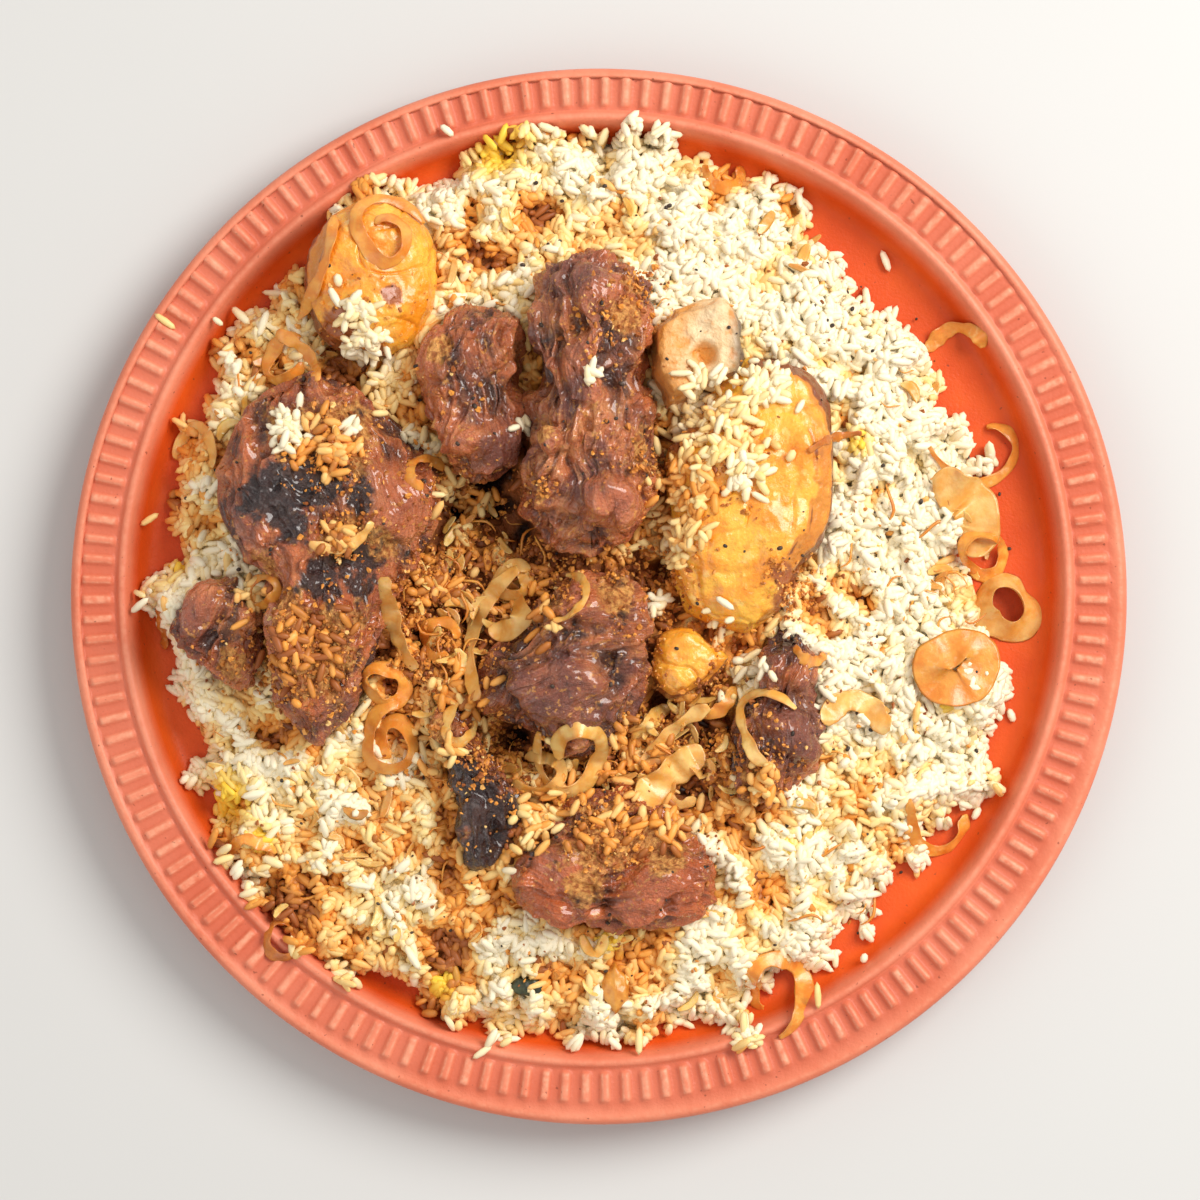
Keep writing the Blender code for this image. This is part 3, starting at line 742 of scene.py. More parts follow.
def make_bone(material, relief):
    """A cut of bone: the CAD form pushed outwards towards the corners of a box turned by 20
    degrees, roughened by noise, with a round marrow hollow in its upper face, an orange left side
    and a sawn edge at the right."""
    grid, ends = base_form("bone", 90, 180)
    low, high = (np.array(corner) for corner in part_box("bone"))
    middle = (low + high) / 2
    lean = math.radians(20)
    axes = np.array(((math.cos(lean), math.sin(lean), 0),
                     (-math.sin(lean), math.cos(lean), 0),
                     (0, 0, 1)))
    unit = (grid - middle) @ axes.T / ((high - low) / 2)
    length = np.linalg.norm(unit, axis=-1)
    corner = length / (np.abs(unit) ** 7).sum(-1) ** (1 / 7)
    grid = middle + (grid - middle) * (0.30 + 0.70 * np.clip(corner, 1, 1.6))[..., None] * 0.95
    normal = grid_normals(grid)
    move = 1.2 * MM * cloud(grid, 9 * MM, 71, 4) - 0.8 * MM * np.abs(noise(grid, 7 * MM, 75))
    x, y = grid[..., 0], grid[..., 1]
    up = smooth(0.2, 0.7, normal[..., 2])
    hollow = np.exp(-(np.hypot(x - middle[0] - 1 * MM, y - middle[1] + 1 * MM) / (3.4 * MM)) ** 4) * up
    grid = grid + normal * (move - 3.2 * MM * hollow)[..., None]
    side = (x - middle[0]) / (high - low)[0] * 1.6
    left = smooth(0.0, -0.5, side + 0.4 * noise(grid, 5 * MM, 76))
    fields = {"marrow": np.maximum(hollow, 0.8 * left), "edge": smooth(0.45, 0.75, side)}
    finish_food("bone", "cut", grid, ends, material, relief, fields)


# Small items: slot, light and dark tone, size of the blotches in metres, roughness, depth of the
# fine relief in metres, and height of the wrinkles in mm
BITS = {
    "pod": ("pod", (0.05, 0.06, 0.02), (0.015, 0.018, 0.010), 0.003, 0.5, 0.0004, 0.5),
    "raisin": ("raisin", (0.36, 0.085, 0.018), (0.20, 0.035, 0.008), 0.003, 0.3, 0.0006, 0.7),
    "orange_chunk": ("peel", (0.72, 0.32, 0.05), (0.60, 0.20, 0.02), 0.004, 0.35, 0.0005, 0.5),
}


def make_bit(name, material, relief, wrinkle):
    """A small item: its CAD form moved along its normals by wrinkles, two sizes of noise."""
    grid, ends = base_form(name, 28, 56)
    normal = grid_normals(grid)
    move = wrinkle * MM * (np.abs(noise(grid, 2.6 * MM, 91)) + 0.5 * noise(grid, 1.3 * MM, 92))
    grid = grid + normal * move[..., None]
    finish_food(name, "cooked", grid, ends, material, relief, {})


# ---------------------------------------------------------------------------------------
# Rice
# ---------------------------------------------------------------------------------------

# Soft spots on the heap, x, y and radius in mm: dyed yellow, left clean, and soaked brown
SAFFRON = ((-28, 127, 8), (-105, -57, 8), (-119, 9, 3), (54, -69, 3), (3, -97, 3.5),
           (-44, -110, 3.5), (100, -29, 3.5), (73, 44, 3.5), (-96, -68, 4))
WHITE = ((78, 60, 22), (86, 15, 18), (82, -25, 15), (70, 88, 14), (28, -122, 12), (100, 42, 12),
         (-112, 62, 12), (60, -100, 12), (10, 125, 14), (104, -42, 8), (-100, 95, 9), (70, 105, 10))
BROWN = ((-30, -60, 10), (-96, 62, 9), (-12, 96, 9), (10, 104, 9), (-56, -66, 12), (-40, 92, 8),
         (-46, 0, 15), (14, 0, 10), (30, -50, 12), (75, -62, 8), (-45, -95, 7), (60, 62, 5),
         (-40, -20, 12), (-66, -50, 9), (34, -60, 9))
# Hollows between the pieces where no rice lies on top, their bottoms painted near black as shade: x, y,
# radius in mm
PITS = ((-31, 36, 6), (-28, 27, 6), (-24, 20, 5), (-29, 46, 4), (17, -30, 3.5), (-38, 26, 5),
        (-26, -40, 4), (38, -34, 4), (-36, -8, 4), (-22, -38, 4), (18, 8, 3), (-50, -12, 3))

# Directions in which the CAD heap is measured, and in which its reach is kept
REACH_STEPS = 72
HEAP_STEPS = 720
# Height of the heap at its edge, how far its crown is under the CAD box, and how high food must
# stand for the rice to climb against it
HEAP_EDGE = 15.5 * MM
CROWN_DROP = 1.5 * MM
TALL = 20 * MM
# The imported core: how deep it lies under the heap's surface, how far inside its edge, how far its
# foot reaches, and what it leaves free over the clay
CORE_DEPTH = 1.4 * MM
CORE_INSET = 2.2 * MM
CORE_FOOT = 125.5 * MM
CORE_CLEAR = 0.4 * MM


def heap_reach(count):
    """How far the CAD heap spreads from the middle of the well in each direction: its farthest
    corner in each of the sectors, read more finely by curves."""
    points = triangles_of("rice").reshape(-1, 3)
    dx, dy = points[:, 0] - WELL_MIDDLE[0], points[:, 1] - WELL_MIDDLE[1]
    share = (np.arctan2(dy, dx) / (2 * math.pi) * REACH_STEPS + 0.5) % REACH_STEPS
    reach = np.zeros(REACH_STEPS)
    np.maximum.at(reach, share.astype(int), np.hypot(dx, dy))
    return refine(reach, count, 0, True)


class Heap:
    """The surface that the rice reaches: a low dome with mounds and clumps, climbing a little
    against the meat, and falling to the floor or the rim at a ragged edge."""

    def __init__(self, pieces):
        self.reach = heap_reach(HEAP_STEPS)
        self.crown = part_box("rice")[1][2] - CROWN_DROP
        self.near = Relief()
        self.near.height = blur((pieces.height > TALL).astype(float), 16)

    def share(self, x, y):
        """0 in the middle of the well and 1 at the ragged edge."""
        dx, dy = x - WELL_MIDDLE[0], y - WELL_MIDDLE[1]
        turn = np.arctan2(dy, dx) / (2 * math.pi) * HEAP_STEPS % HEAP_STEPS
        reach = np.interp(turn, np.arange(HEAP_STEPS + 1), np.append(self.reach, self.reach[0]))
        return np.hypot(dx, dy) / (reach + self.ragged(x, y))

    def ragged(self, x, y):
        """How far clumps stand out from the even edge, or bays reach in."""
        place = flat(x, y)
        bays = 6.4 * MM * cloud(place, 14 * MM, 41, 2)
        return bays + 3.2 * MM * noise(place, 4.5 * MM, 48) - 1.0 * MM

    def top(self, x, y):
        """The height of the rice: the dome, raised near tall food and by mounds, clods and lumps,
        lowered under gravy and in the pits, and falling to the floor at the ragged edge."""
        share = np.clip(self.share(x, y), 0, 1)
        dome = HEAP_EDGE + (self.crown - HEAP_EDGE) * (1 - share ** 2.4) ** 0.85
        dome = dome + 4.5 * MM * self.near.at(x, y)
        clod, lump = clods(x, y)
        clump = 2.0 * MM * noise(flat(x, y), 22 * MM, 42) + 7 * MM * clod + 3.4 * MM * lump
        clump = clump - 3.5 * MM * gravy(x, y) - 9 * MM * spots(x, y, PITS)
        fall = smooth(1.0, 0.93, share)
        return FLOOR_Z + (dome + clump - FLOOR_Z) * fall


def make_core(heap, plate, material):
    """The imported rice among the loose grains: the heap's surface a little lower, as rings that
    shrink towards its middle, over a flat foot. Its edge follows the ragged one, found by four
    rounds of halving the distance to it."""
    rows, columns = 168, 480
    turn = np.arange(columns) * 2 * math.pi / columns
    even = refine(heap.reach, columns, 0, True)
    reach = even
    for _ in range(4):
        reach = (reach + even + heap.ragged(WELL_MIDDLE[0] + reach * np.cos(turn),
                                            WELL_MIDDLE[1] + reach * np.sin(turn))) / 2
    reach = soften(reach, True, 2) - CORE_INSET
    share = np.sqrt(np.linspace(0.0002, 1, rows))[:, None]
    x = WELL_MIDDLE[0] + reach * share * np.cos(turn)
    y = WELL_MIDDLE[1] + reach * share * np.sin(turn)
    top = np.maximum(heap.top(x, y) - CORE_DEPTH, plate.at(x, y) + CORE_CLEAR)
    upper = np.stack((x, y, top), -1)[::-1]
    foot_reach = np.minimum(reach, CORE_FOOT)
    foot_z = FLOOR_Z + 0.1 * MM
    foot = np.stack((WELL_MIDDLE[0] + foot_reach * np.cos(turn),
                     WELL_MIDDLE[1] + foot_reach * np.sin(turn),
                     np.full(columns, foot_z)), -1)[None]
    grid = np.vstack((foot, upper))
    ends = np.array(((*WELL_MIDDLE, foot_z), grid[-1].mean(0)))
    quads, caps = skin_faces(*grid.shape[:2])
    stain_and_shade = stain_and_shade_at(grid[..., 0], grid[..., 1], heap)
    stain_and_shade = np.append(stain_and_shade.ravel(), (0, 0))
    points = np.vstack((grid.reshape(-1, 3), ends))
    finish_piece("rice_packed", points, quads, caps, material, ("rice",), {"stain_and_shade": stain_and_shade})


def clods(x, y):
    """Rice sticks together in round clods with sharp valleys where a slow noise crosses zero,
    and in smaller lumps of a few grains. Both are above zero on top and below it in valleys."""
    place = flat(0.8 * x + 0.6 * y, 0.8 * y - 0.6 * x)
    bent = place + 4 * MM * noise_vector(place, 9 * MM, range(45, 48))
    bent[..., 2] = 5 * MM + 4 * MM * noise(place, 14 * MM, 49)
    return 0.33 - np.abs(noise(bent, 12 * MM, 43)), 0.3 - np.abs(noise(bent + 0.003, 6 * MM, 44))


def gravy(x, y):
    """1 in an ellipse between the pieces of meat, where their gravy has run, fading out beyond."""
    away = np.hypot((x + 6 * MM) / (56 * MM), (y + 4 * MM) / (66 * MM))
    return smooth(1.15, 0.65, away)


def stain_and_shade_at(x, y, heap):
    """How far the rice is darkened from white, by gravy and by painted shade together: gravy makes it
    more near the meat and where its gravy runs, in drifting patches and in the brown spots, and less in
    the white ones; it is also more at the left; painted shade makes it more in the valleys between
    clods, less on their tops, and most in the pits, past 1, where the colour goes near black."""
    place = flat(x, y)
    drift = cloud(place, 30 * MM, 51, 2) + 1.1 * cloud(place, 10 * MM, 52, 2)
    near = heap.near.at(x, y)
    left = smooth(120 * MM, -80 * MM, x + 0.3 * y)
    amount = 0.13 + 0.30 * left + 0.24 * drift + 0.16 * near + 0.22 * spots(x, y, BROWN)
    clod, lump = clods(x, y)
    # Gravy where it runs, and painted light and shade: oranger in the valleys between clods and lumps,
    # whiter on their tops
    amount = amount + 0.40 * gravy(x, y) - 0.85 * clod - 0.45 * lump
    amount = np.clip(amount - 0.24 * spots(x, y, WHITE), 0, 1)
    # Painted shade: the pits are pushed past 1, into the near-black step of the rice colour
    return amount + 0.5 * spots(x, y, PITS)


# One grain lies along X: rings along its length, each with its share of the full radius
GRAIN_RINGS = ((-0.68, 0.78), (0.0, 1.0), (0.68, 0.76))
GRAIN_SIDES = 6
GRAIN_BEND = 0.12


def grain_form():
    """A blunt spindle of 20 corners and 36 triangles, slightly bent along its length."""
    turn = np.arange(GRAIN_SIDES) * 2 * math.pi / GRAIN_SIDES
    rings = [np.stack((np.full(GRAIN_SIDES, s), r * np.cos(turn), r * np.sin(turn)), -1)
             for s, r in GRAIN_RINGS]
    points = np.vstack(rings + [np.array(((-1.0, 0, 0), (1.0, 0, 0)))])
    points[:, 2] -= GRAIN_BEND * points[:, 0] ** 2
    quads, caps = skin_faces(len(GRAIN_RINGS), GRAIN_SIDES)
    return points, quads, caps


def chip_form():
    """A small rough chip: two uneven four-sided rings between blunt ends, 16 triangles."""
    turn = np.arange(4) * math.pi / 2
    first = np.stack((np.full(4, -0.5), 0.95 * np.cos(turn), 0.8 * np.sin(turn)), -1)
    second = np.stack((np.full(4, 0.4), 0.75 * np.cos(turn + 0.5), 1.0 * np.sin(turn + 0.5)), -1)
    points = np.vstack((first, second, ((-0.9, 0.1, 0.1), (0.9, -0.15, 0))))
    return (points, *skin_faces(2, 4))


def scatter(name, places, lengths, widths, yaw, pitch, material, fields,
            nodes=(), flatten=0.85, roll=None, form=None):
    """Copies of one form, all turned, sized and placed at once by arrays of 3 by 3 frames: the
    first axis follows yaw and pitch, the second lies level, the third completes them, and roll
    turns the last two about the first."""
    form, quads, caps = form or grain_form()
    count = len(places)
    a = np.stack((np.cos(pitch) * np.cos(yaw), np.cos(pitch) * np.sin(yaw), np.sin(pitch)), -1)
    b = np.stack((-np.sin(yaw), np.cos(yaw), 0 * yaw), -1)
    c = np.cross(a, b)
    if roll is not None:
        b, c = (b * np.cos(roll)[:, None] + c * np.sin(roll)[:, None],
                c * np.cos(roll)[:, None] - b * np.sin(roll)[:, None])
    frames = np.stack((a * lengths[:, None] / 2, b * widths[:, None] / 2,
                       c * widths[:, None] / 2 * flatten), 1)
    points = places[:, None, :] + np.einsum("vk,nkj->nvj", form, frames)
    shift = (np.arange(count) * len(form))[:, None, None]
    all_quads = (quads[None] + shift).reshape(-1, 4)
    all_caps = (caps[None] + shift).reshape(-1, 3)
    fields = {k: np.repeat(v, len(form)) for k, v in fields.items()}
    return finish_piece(name, points.reshape(-1, 3), all_quads, all_caps, material, nodes, fields)


# Layers of grains from below: how many at most, height over the heap's surface in mm, clumpiness
LAYERS = ((8600, -0.7, 0.0), (7600, 0.1, 0.3), (5300, 0.9, 0.8))
HEAP_RADIUS = 137 * MM


def heap_grains(heap, pieces, rng):
    """Places for the grains of the heap, layer by layer: random over a disc, kept inside the
    ragged edge, thinner under gravy, and gathered in clumps where a noise is high. Grains buried
    inside the meat are left out."""
    places = []
    depths = []
    for count, level, clumpy in LAYERS:
        radius = HEAP_RADIUS * np.sqrt(rng.uniform(0, 1, count * 3))
        turn = rng.uniform(0, 2 * math.pi, count * 3)
        x = WELL_MIDDLE[0] + radius * np.cos(turn)
        y = WELL_MIDDLE[1] + radius * np.sin(turn)
        keep = (heap.share(x, y) < 1.0) & (spots(x, y, PITS) < 0.5)
        keep &= rng.uniform(0, 1, len(x)) > 0.72 * gravy(x, y)
        keep &= rng.uniform(0, 1, len(x)) > clumpy * (0.5 - 1.1 * cloud(flat(x, y), 8 * MM, 61, 2))
        x, y = x[keep][:count], y[keep][:count]
        z = heap.top(x, y) + level * MM + rng.uniform(-0.4, 0.4, len(x)) * MM
        places.append(np.stack((x, y, np.maximum(z, FLOOR_Z + 1.2 * MM)), -1))
        depths.append(np.full(len(x), level))
    places = np.vstack(places)
    buried = pieces.at(places[:, 0], places[:, 1]) > places[:, 2] + 1.5 * MM
    return places[~buried], np.concatenate(depths)[~buried]


# Loose grains on the bare clay, x and y in mm
STRAYS = ((75.5, -103), (-33, -129), (-108, 78), (-123, 78), (-43, 132), (30, 126), (82, 96),
          (-118, -52), (118, -34), (62, -113), (-128, 22), (108, -62))
RICE_KINDS = ("white", "cream", "golden", "soaked")


def make_rice(heap, pieces, plate, material):
    """All the grains of the heap, in four kinds from the whitest to the darkest, by gravy stain and
    painted shade together. Each leans with the slope under it, and is raised above the clay's height as
    it is known under its middle and its two ends; its flanks can still sink into the steep wall."""
    rng = np.random.default_rng(21)
    places, depth = heap_grains(heap, pieces, rng)
    strays = np.array([(x * MM, y * MM, 0.0) for x, y in STRAYS])
    places = np.vstack((places, strays))
    depth = np.append(depth, np.ones(len(strays)))
    rest = plate.at(places[:, 0], places[:, 1]) + 1.1 * MM
    places[:, 2] = np.maximum(places[:, 2], rest)
    x, y = places[:, 0], places[:, 1]
    count = len(places)
    yaw = rng.uniform(0, 2 * math.pi, count)
    step = 1.5 * MM
    slope = (heap.top(x + step * np.cos(yaw), y + step * np.sin(yaw))
             - heap.top(x - step * np.cos(yaw), y - step * np.sin(yaw))) / (2 * step)
    pitch = np.arctan(np.clip(slope, -1.2, 1.2)) * 0.8 + rng.normal(0, 0.28, count)
    pitch[-len(strays):] = 0
    lengths = np.clip(rng.normal(6.3, 1.0, count), 3.6, 8.4) * MM
    lengths = np.where(rng.uniform(0, 1, count) < 0.35, lengths * 0.6, lengths)
    widths = np.clip(rng.normal(2.4, 0.24, count), 1.8, 3.0) * MM
    for side in (-0.5, 0.5):
        run = side * lengths * np.cos(pitch)
        clay = plate.at(x + run * np.cos(yaw), y + run * np.sin(yaw)) + 1.0 * MM
        places[:, 2] = np.maximum(places[:, 2], clay - side * lengths * np.sin(pitch))
    roll = rng.uniform(-0.8, 0.8, count)
    # Painted shade: the grains of the lower layers are darker and oranger, those on top whiter
    stain_and_shade = stain_and_shade_at(x, y, heap) + rng.normal(0, 0.055, count) - 0.07 * depth
    stray_brown = rng.uniform(0, 1, count) > 0.982
    stain_and_shade = np.clip(np.where(stray_brown, stain_and_shade + 0.45, stain_and_shade), 0, 1.4)
    saffron = spots(x, y, SAFFRON) * (rng.uniform(0, 1, count) > 0.15)
    kind = np.argsort(np.argsort(stain_and_shade + 1e-6 * rng.uniform(0, 1, count))) * len(RICE_KINDS) // count
    for k, name in enumerate(RICE_KINDS):
        m = kind == k
        scatter("grains_" + name, places[m], lengths[m], widths[m], yaw[m], pitch[m],
                material, {"stain_and_shade": stain_and_shade[m], "saffron": saffron[m]}, nodes=("rice",), roll=roll[m])


# Loose rice and spice on top of the other food: x, y, radius in mm, number, and how brown
SPRINKLES = (
    (32, 46, 14, 130, 0.3), (24, 30, 9, 70, 0.6), (40, 34, 6, 30, 0.1), (46, 58, 8, 46, 0.1),
    (30, 58, 6, 30, 0.1),
    (24, 16, 6, 50, 0.4), (-82, -16, 14, 60, 1.0), (-74, 41, 9, 50, 0.75), (-72, 16, 5, 20, 0.8),
    (-86, 47, 5, 34, 0.0), (-69, 47, 2.5, 7, 0.0), (-66, 72, 6, 50, 0.1), (-68, 80, 5, 26, 0.1),
    (2, -62, 12, 36, 0.9), (20, -64, 9, 30, 0.8), (-1, 61, 2.5, 5, 0.0), (-22, 48, 1.5, 4, 0.0),
    (-20, -2, 9, 26, 0.75), (-44, 4, 9, 30, 0.8), (-38, -28, 8, 30, 0.7), (44, -20, 5, 16, 0.1),
    (10, -42, 9, 40, 0.7), (-18, -62, 8, 40, 0.5), (-97, 0, 5, 20, 0.4), (16, -2, 3, 8, 0.0),
    (46, -54, 8, 30, 0.6), (-46, -44, 6, 24, 0.5), (-12, -52, 7, 30, 0.6), (34, -6, 4, 6, 0.1),
    (50, 60, 3, 9, 0.0), (-36, 26, 5, 16, 0.7), (-42, 30, 5, 20, 0.5), (-60, 60, 8, 30, 0.3),
)
# Where crumbs lie thick: x, y, radius in mm, number
CRUMBS = (
    (-82, -16, 17, 620), (-76, 40, 12, 300), (-70, 16, 9, 120), (-62, 30, 16, 50), (2, 74, 12, 90),
    (8, 40, 12, 50), (10, 84, 10, 60), (-42, 56, 14, 24), (-10, 0, 8, 60), (6, -8, 6, 30),
    (2, -64, 15, 300),
    (-44, -42, 10, 90), (48, -48, 12, 140), (-100, -16, 10, 70), (-46, 2, 12, 500),
    (-30, -44, 10, 300), (14, -44, 12, 400), (-42, 30, 8, 260), (30, 40, 17, 420), (55, 0, 6, 170),
    (33, -25, 4, 40), (50, 8, 4, 40), (12, 88, 6, 60), (16, 36, 6, 90), (-16, 30, 5, 50),
    (-66, 76, 14, 110),
    (-52, -16, 10, 300), (34, -44, 8, 120), (-18, -56, 10, 140), (20, 6, 8, 110), (-30, 24, 6, 60),
)
# Crumbs strewn more thinly over everything low, how low that is, and how far out they lie
LOOSE_CRUMBS = ((-20, -10, 150, 1500), (-6, -4, 56, 3400))
CRUMB_TOP = 36 * MM
CRUMB_REACH = 118 * MM


def around(circles, rng, spread):
    """Random places round each of several circles, thickest in the middle."""
    return np.vstack([rng.normal(0, spread, (n, 2)) * r * MM + np.array((x, y)) * MM
                      for x, y, r, n in circles])


def make_sprinkles(relief, material):
    """Grains on the meat and potatoes, and crumbs of spice paste and fried onion everywhere, each
    resting on the skin below it."""
    rng = np.random.default_rng(33)
    spread = around([row[:4] for row in SPRINKLES], rng, 0.5)
    brown = np.repeat([row[4] for row in SPRINKLES], [row[3] for row in SPRINKLES])
    count = len(spread)
    x, y = spread[:, 0], spread[:, 1]
    places = relief.lay(x, y, (0.7 + 1.3 * rng.uniform(0, 1, count) ** 2) * MM)
    stain_and_shade = np.clip(0.06 + brown * rng.uniform(0.45, 1.0, count) + rng.normal(0, 0.06, count), 0, 1)
    scatter("grains_on_top", places, rng.uniform(3.2, 7.4, count) * MM,
            rng.uniform(1.9, 2.6, count) * MM, rng.uniform(0, 2 * math.pi, count),
            rng.normal(0, 0.25, count), material,
            {"stain_and_shade": stain_and_shade, "saffron": np.zeros(count)})
    loose = around(LOOSE_CRUMBS, rng, 0.5)
    x, y = loose[:, 0], loose[:, 1]
    loose = loose[(relief.at(x, y) < CRUMB_TOP) & (spots(x, y, PITS) < 0.4)]
    spread = np.vstack((around(CRUMBS, rng, 0.5), loose))
    spread = spread[np.hypot(spread[:, 0], spread[:, 1]) < CRUMB_REACH]
    count = len(spread)
    x, y = spread[:, 0], spread[:, 1]
    places = relief.lay(x, y, rng.uniform(0.0, 0.7, count) * MM)
    lengths = rng.gamma(4.0, 0.34, count).clip(0.7, 2.6) * MM
    crumbs = scatter("spice_crumbs", places, lengths, lengths * rng.uniform(0.35, 0.8, count),
                     rng.uniform(0, 2 * math.pi, count), rng.normal(0, 0.5, count), material,
                     {"stain_and_shade": np.clip(rng.normal(0.78, 0.17, count), 0.35, 1.2),
                      "saffron": np.zeros(count)}, form=chip_form())
    crumbs.data.shade_flat()


def shred_form(bow):
    """A thin strip along X that bends sideways as an arc and droops at both ends; its section is
    a flat diamond. Corners: 7 stations of 4, then two ends."""
    along = np.linspace(-0.94, 0.94, 7)[:, None]
    width = 0.085 * np.sqrt(1 - along ** 4)
    y = bow * (1 - along ** 2) + 0.12 * np.sin(3 * along) + width * np.array((1, 0, -1, 0))
    z = 0.22 * (1 - along ** 2) + 0.045 * np.array((0, 1, 0, -1)) + 0 * along
    points = np.stack((along + 0 * y, y, z), -1).reshape(-1, 3)
    points = np.vstack((points, ((-1.0, 0, 0), (1.0, 0, 0))))
    return (points, *skin_faces(7, 4))


# Where threads of fried onion lie: x, y, radius in mm, number
THREADS = ((0, 0, 150, 130), (-40, -6, 22, 22), (14, -44, 20, 20), (-60, 90, 20, 10),
           (-40, -70, 30, 14), (-90, 60, 16, 10), (100, 0, 16, 8), (34, 36, 16, 8),
           (-30, -46, 12, 8))
THREAD_REACH = 120 * MM


def off_pieces(spread, relief, pieces):
    """Whether each place lies clear of the meat, potatoes and small items."""
    x, y = spread[:, 0], spread[:, 1]
    return relief.at(x, y) > pieces.at(x, y) + 1 * MM


def make_shreds(relief, pieces, material):
    """Fine threads of fried onion strewn over the rice, thickest in the middle."""
    rng = np.random.default_rng(55)
    spread = around(THREADS, rng, 0.5)
    inside = np.hypot(spread[:, 0], spread[:, 1]) < THREAD_REACH
    spread = spread[inside & off_pieces(spread, relief, pieces)]
    half = len(spread) // 2
    for part, bow in ((slice(0, half), 0.35), (slice(half, None), -0.7)):
        x, y = spread[part, 0], spread[part, 1]
        count = len(x)
        places = relief.lay(x, y, 0.2 * MM)
        lengths = rng.uniform(4, 12, count) * MM
        name = "onion_threads_" + ("bent" if bow > 0 else "curled")
        scatter(name, places, lengths, lengths, rng.uniform(0, 2 * math.pi, count),
                rng.normal(0, 0.15, count), material,
                {"streak": rng.uniform(0, 0.8, count)}, flatten=1.0, form=shred_form(bow))


def flake_form(curl):
    """A short broad strip along X, bent sideways and rolled up at its ends; its section is a
    flat six-sided lens. Corners: 5 stations of 6, then two ends."""
    along = np.linspace(-0.92, 0.92, 5)[:, None]
    turn = np.arange(6) * math.pi / 3
    width = 0.38 * np.sqrt(1 - along ** 4)
    y = curl * (1 - along ** 2) + width * np.cos(turn)
    z = 0.35 * along ** 2 + 0.06 * np.sin(turn) + 0.10 * np.cos(turn) ** 2
    points = np.stack((along + 0 * y, y, z), -1).reshape(-1, 3)
    points = np.vstack((points, ((-1.0, 0, 0.35), (1.0, 0, 0.35))))
    return (points, *skin_faces(5, 6))


# Where scraps of fried onion lie: x, y, radius in mm, number
FLAKES = ((-42, -2, 14, 46), (-46, -34, 14, 40), (-34, -22, 8, 24), (-14, -50, 14, 44),
          (16, -44, 12, 40), (30, -48, 9, 20), (-34, 24, 8, 22), (-92, 60, 12, 16),
          (-98, 44, 10, 10), (34, 20, 12, 20), (-50, 92, 10, 14), (60, -58, 12, 14),
          (-60, -70, 22, 20), (100, 8, 9, 16), (86, -40, 12, 10), (60, 98, 14, 8),
          (-10, 104, 22, 16), (94, 58, 9, 8), (24, -30, 7, 16), (-102, -50, 12, 8), (-20, 2, 7, 14),
          (-84, -46, 20, 12), (10, -96, 24, 14))


def make_flakes(relief, pieces, material):
    """Broken scraps of fried onion between the pieces and here and there on the rice."""
    rng = np.random.default_rng(66)
    spread = around(FLAKES, rng, 0.55)
    spread = spread[rng.permutation(len(spread))[::2]]
    spread = spread[off_pieces(spread, relief, pieces)]
    half = len(spread) // 2
    for name, part, curl in (("onion_flakes_open", slice(0, half), 0.10),
                             ("onion_flakes_hooked", slice(half, None), -0.40)):
        x, y = spread[part, 0], spread[part, 1]
        count = len(x)
        places = relief.lay(x, y, 0.3 * MM)
        lengths = rng.uniform(4.0, 9.5, count) * MM
        scatter(name, places, lengths, np.minimum(lengths, 7 * MM) * rng.uniform(0.7, 1.3, count),
                rng.uniform(0, 2 * math.pi, count), rng.normal(0, 0.25, count), material,
                {"streak": rng.uniform(0, 1, count) ** 2}, flatten=0.8,
                roll=rng.normal(0, 0.45, count), form=flake_form(curl))


SPECKS = 260
SPECK_REACH = 122 * MM


def make_specks(relief, heap, material):
    """Cracked black spice: tiny dark grains at random over a disc, on the rice and the food."""
    rng = np.random.default_rng(44)
    count = SPECKS
    radius = SPECK_REACH * np.sqrt(rng.uniform(0, 1, count))
    turn = rng.uniform(0, 2 * math.pi, count)
    x, y = radius * np.cos(turn), radius * np.sin(turn)
    places = np.stack((x, y, np.maximum(relief.at(x, y), heap.top(x, y) + 1.2 * MM)), -1)
    lengths = rng.uniform(0.6, 1.9, count) * MM
    scatter("spice_specks", places, lengths, lengths * 0.7, rng.uniform(0, 6.28, count),
            rng.normal(0, 0.4, count), material, {})


# ---------------------------------------------------------------------------------------
# Fried onion
# ---------------------------------------------------------------------------------------

